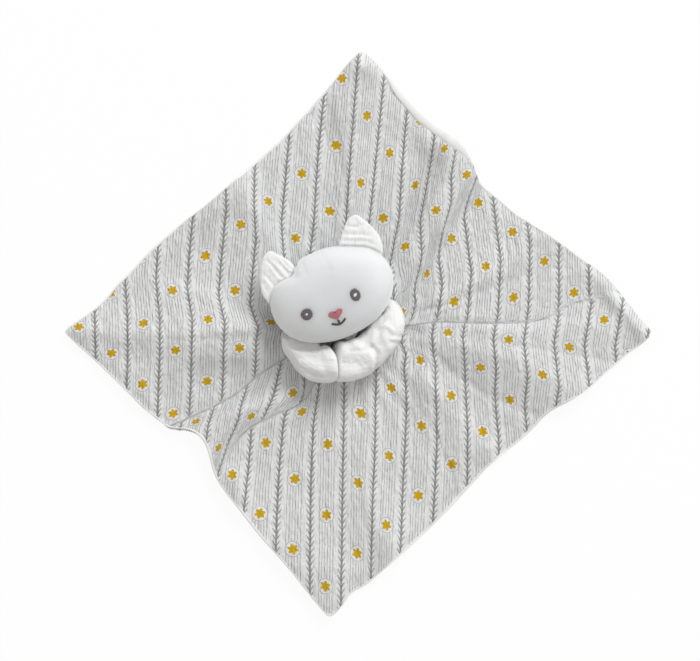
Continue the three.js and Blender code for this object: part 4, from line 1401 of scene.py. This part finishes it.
def makeMouth():
    # short stitches across a stem and a smile
    middle, low = face["shift"], -face["mouthDrop"]
    half = face["mouthWidth"] / 2
    stemTop = face["noseSize"][1] * face["stemReach"]
    smile = [(middle + half * s, low + face["mouthLift"] * abs(s) ** 1.7) for s in np.linspace(-1, 1, 30)]
    stem = [(middle, low + high) for high in np.linspace(0, stemTop, 9)]
    lines = []
    for path in (np.array(smile), np.array(stem)):
        for i, place in enumerate(path):
            way = path[min(i + 1, len(path) - 1)] - path[max(i - 1, 0)]
            way = way / np.linalg.norm(way)
            side = np.array([-way[1], way[0]]) * face["stroke"] / 2 + way * 0.25
            lines.append((place - side, place + side))
    mouth = stitchesOver("mouthSmile", lines, threadDark, 0.25, 0.4, 0.25)
    return [(mouth, "mouth", "dark_stitching")]


for piece, node, slot in makeEye("left") + makeEye("right") + makeNose() + makeMouth():
    if node:
        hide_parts(node)
    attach(piece, "head")
print("face is stitched")


# Arms

arms = {
    "rays": 132,
    "rings": 170,
    "domeRings": 44,
    "blunt": 8.0,  # how square the paw's end is: 2 is round
    "meet": -10.1,  # where the paws lie against each other, along x
    "parted": 1.5,  # how far each paw draws back from the other under the chin
    "lean": 0.35,  # how the gap between the paws slants, so that it shows no floor
    "flatness": 0.96,
    "squared": 0.035,  # a little squarer than a circle, as stuffing fills a tube
    "clearance": 0.7,  # below the head
    "cutRadius": 12,  # that the cut of a sleeve is drawn with on the gauze
    "floor": 6,
    "rootFloor": 2.6,
    "neckLevel": 7.3,
    # two places on a sleeve: outwards from the shoulder in millimetres, and height in metres
    "blended": ((-14, 0.0075), (2, 0.0085)),
    # from the paw to the neck: place over the cloth and half width; the marks are the creases
    "left": {
        "path": (
            (-10.2, -24.2, 14.0), (-17.5, -24.8, 13.7), (-25, -22.4, 12.7), (-30.8, -15.8, 12.4),
            (-34.8, -7.6, 12.0), (-36.2, 0, 9.6), (-33, 4, 5.8), (-22, 2.6, 4.4), (-11.5, 1.3, 3.2),
        ),
        "shoulder": (-36, 4),
        "marks": (
            (((-40.3, -4.5), (-37.5, -9.3), (-33, -12.5), (-28.5, -16), (-22, -15)), 1.2, 1.6),
            (((-37, -6.8), (-35.6, -9.2)), 0.8, 1.0),
            (((-34.3, -10.4), (-32.4, -13.2)), 0.8, 1.2),
            (((-44, -9), (-42, -17), (-36.5, -26), (-28.5, -32.5), (-22, -35), (-14, -35.5)), 0.9, 2.8),
            (((-27, -31.5), (-21, -33.8), (-15, -33.6)), 0.8, 3.2),
            (((-18, -18), (-17.6, -24), (-16.4, -30)), 0.9, 2.0),
            (((-13.2, -16), (-12.6, -24), (-12.8, -30)), -0.5, 1.4),
            (((-26, -20), (-20.5, -21.5)), 1.1, 3.6),
            (((-33, -24), (-28, -22.5), (-25, -24.5)), -0.6, 1.8),
        ),
        "seed": 61,
        "crumpled": 1.7,
    },
    "right": {
        "path": (
            (-10.0, -23.2, 14.4), (-1, -22.9, 14.6), (7.4, -20.9, 14.3), (13, -17.8, 13.9),
            (17.6, -13.9, 12.6), (23, -8.4, 12.3), (27.6, -1.3, 12.2), (29.8, 6.6, 11.5),
            (28, 13, 9.2), (23, 13, 5.4), (11.5, 6, 3.2),
        ),
        "shoulder": (25, 13),
        "marks": (
            # the paw's pad, and where it folds over the forearm
            (((2, -14.6), (10, -15.2), (16.6, -13.6)), 1.0, 1.6),
            (
                ((17.6, -12.6), (20.2, -15.2), (22.3, -19.1), (22.2, -23.5), (21.4, -28), (20, -33)),
                2.6, 1.9,
            ),
            (((16.4, -17.2), (18.6, -22), (18.6, -27.6)), -0.8, 2.0),
            (((-3, -23.5), (8, -24.6)), 3.2, 6.8),
            (((7, -20.8), (12.4, -27.8)), -0.5, 1.5),
            # the forearm's folds, that spread from the inside of the bend
            (((19.8, 3.5), (24, 3.6), (28.5, 2.3), (32.6, -1.0)), -0.9, 1.9),
            (((19.8, 1.4), (19.4, -4), (18.6, -9.3)), -0.8, 1.9),
            (((22.9, -1.5), (22.9, -11)), 1.1, 2.3),
            (((26, -5.1), (30.1, -13.4)), -0.8, 1.9),
            (((28.9, -1), (31.8, -5.1), (39.2, -5.4)), 0.6, 1.6),
            (((31, -6.8), (38.6, -7.2)), -0.6, 1.2),
            (((31.8, -9.6), (37, -10.4)), 0.7, 1.4),
            (((24, 10), (31, 6.4)), 1.0, 3.2),
            (((33, 12), (38, 7)), 0.5, 2.0),
        ),
        "seed": 62,
        "crumpled": 1.0,
    },
}


def armDetail(look, s, arc):
    # soft hollows and fine puckers of the stuffed gauze
    soft = 0.3 * waves(s, arc, 10, 9, 20, look["seed"] + 7)
    pinch = 0.22 * (1 - np.abs(waves(s, arc, 12, 4, 8, look["seed"] + 9)))
    return (soft + pinch) * look["crumpled"]


def pawsApart(name, x, y, rise):
    # the paws part a little under the chin, and the gap between them slants
    away = smoothStep(-21, -10, y) * np.exp(-(((x - arms["meet"]) / 6) ** 2))
    x = x + arms["parted"] * away * (-1 if name == "left" else 1)
    return x + arms["lean"] * rise * np.exp(-(((x - arms["meet"]) / 5) ** 2))


def makeArm(name):
    # rings along the path, from the paw's blunt end to the flat root beside the neck
    look = arms[name]
    count, domeRings, blunt = arms["rays"], arms["domeRings"], arms["blunt"]
    angle = np.arange(count) / count * 2 * math.pi
    square = 1 + arms["squared"] * (1 - np.cos(4 * angle))
    arc = angle * arms["cutRadius"]
    length, path = smoothCurve(look["path"], 500)
    total = length[-1]
    tipReach = path[0, 2] * 0.8

    def at(s):
        return np.array([np.interp(s, length, path[:, column]) for column in range(3)])

    points, flat = [], []
    for ring in range(arms["rings"] + 1):
        dome = min(1, ring / domeRings) * math.pi / 2
        rest = max(0, ring - domeRings) / (arms["rings"] - domeRings)
        s = tipReach * (1 - math.cos(dome)) + (total - tipReach) * rest
        x, y, radius = at(s)
        way = at(s - 0.5)[:2] - at(s + 0.5)[:2]
        way /= np.linalg.norm(way)
        root = 1 - float(smoothStep(4.5, 11.5, radius)) if rest > 0 else 0.0
        past = float(smoothStep(total - 22, total, s))  # on the way in to the neck
        high = arms["flatness"] * (1 - 0.3 * past)
        level = arms["floor"] + (arms["rootFloor"] - arms["floor"]) * root + high * radius
        level += (arms["neckLevel"] - level) * past
        section = radius * (1 - abs(math.cos(dome)) ** blunt) ** (1 / blunt)
        detail = armDetail(look, np.full(count, s), arc) * float(smoothStep(1, 9, s))
        full = section + detail * (1 - past)
        across = full * np.cos(angle) * square
        placeX, placeY = x - across * way[1], y + across * way[0]
        upper = smoothStep(-0.5, 0.3, np.sin(angle))
        pressed = markDepth(placeX, placeY, look["marks"]) * upper * (1 - past)
        full = np.maximum(full - pressed, 0.1)
        across = full * np.cos(angle) * square
        placeX, placeY = x - across * way[1], y + across * way[0]
        z = level + high * full * np.sin(angle) * square
        place = np.stack([pawsApart(name, placeX, placeY, z - level), placeY, z], 1)
        points.append(np.array([[x, y, level]]) if ring == 0 else place)
        flat.append(np.zeros((1, 2)) if ring == 0 else np.stack([arc, np.full(count, s)], 1))
    points = clearOfHead(np.vstack(points), arms["clearance"])
    faces = closedFaces(arms["rings"], count, pointed=False)
    arm = meshPiece("arm" + name.capitalize(), points, faces, np.vstack(flat))
    arm.data.materials.append(gauzeWhite)
    return arm


# the neck's cloth gives way to the head, and so it is made after it
pleats = makeNeck()
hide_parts("neck_gather")
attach(pleats, "root")
print("neck is gathered")

for side in ("left", "right"):
    arm = makeArm(side)
    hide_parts(f"arm_{side}_sleeve", f"arm_{side}_filling", f"shoulder_{side}")
    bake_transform(arm)
print("arms are curled under the chin")


# Floor and light

stage = {
    "floorSize": 12,
    "paperWhite": 0.93,  # share of the floor that shines by itself, so that it is seen nearly white
    "keyTurn": 60,  # degrees from the right, anticlockwise
    "keyRise": 41,  # degrees over the floor
    "keyDistance": 4,
    "keyPower": 112,
    "keySize": 2.0,
    "keyColour": (0.97, 0.985, 1),  # slightly cool, in linear shares
    "sky": 0.575,
}


def seenDirectly(tree):
    # as "any", 1 for what the camera, a mirror or a glass shows, and 0 for light that falls on things
    path = addNode(tree, "ShaderNodeLightPath")
    known = {name: path.outputs[f"Is {name} Ray"] for name in ("Camera", "Glossy", "Transmission")}
    return worked(tree, known, [
        ("either", "MAXIMUM", "Camera", "Glossy"),
        ("any", "MAXIMUM", "either", "Transmission"),
    ])


def paleFloor():
    # white studio paper: the camera sees it nearly white, and the shadow stays on it
    material, tree = newMaterial("studioPaper")
    seen = worked(tree, seenDirectly(tree), [("share", "MULTIPLY", "any", stage["paperWhite"])])
    matte = addNode(tree, "ShaderNodeBsdfDiffuse", {"Color": linear("#F4F4F4")})
    white = addNode(tree, "ShaderNodeEmission", {"Color": linear("#FFFFFF"), "Strength": 1})
    both = addNode(
        tree, "ShaderNodeMixShader", {}, {0: seen["share"], 1: matte.outputs[0], 2: white.outputs[0]}
    )
    addNode(tree, "ShaderNodeOutputMaterial", {}, {0: both.outputs[0]})
    return material


def makeFloor():
    deselectAll()
    bpy.ops.mesh.primitive_plane_add(size=stage["floorSize"], location=(0, 0, -0.0002))
    floor = bpy.context.object
    floor.name = "studioFloor"
    floor.data.materials.append(paleFloor())


def lightStudio():
    world = bpy.data.worlds.new("studioSky")
    bpy.context.scene.world = world
    world.use_nodes = True
    tree = world.node_tree
    tree.nodes.clear()
    seen = seenDirectly(tree)
    soft = addNode(tree, "ShaderNodeBackground", {"Color": linear("#FFFDF9"), "Strength": stage["sky"]})
    white = addNode(tree, "ShaderNodeBackground", {"Color": linear("#FFFFFF"), "Strength": 1})
    both = addNode(
        tree, "ShaderNodeMixShader", {}, {0: seen["any"], 1: soft.outputs[0], 2: white.outputs[0]}
    )
    addNode(tree, "ShaderNodeOutputWorld", {}, {0: both.outputs[0]})
    key = bpy.data.lights.new("windowLight", "AREA")
    key.energy = stage["keyPower"]
    key.color = stage["keyColour"]
    key.shape = "DISK"
    key.size = stage["keySize"]
    lamp = bpy.data.objects.new("windowLight", key)
    turn, rise = math.radians(stage["keyTurn"]), math.radians(stage["keyRise"])
    way = Vector((math.cos(turn) * math.cos(rise), math.sin(turn) * math.cos(rise), math.sin(rise)))
    lamp.location = way * stage["keyDistance"]
    lamp.rotation_euler = way.to_track_quat("Z", "Y").to_euler()
    bpy.context.scene.collection.objects.link(lamp)


makeFloor()
lightStudio()
print("light is set")
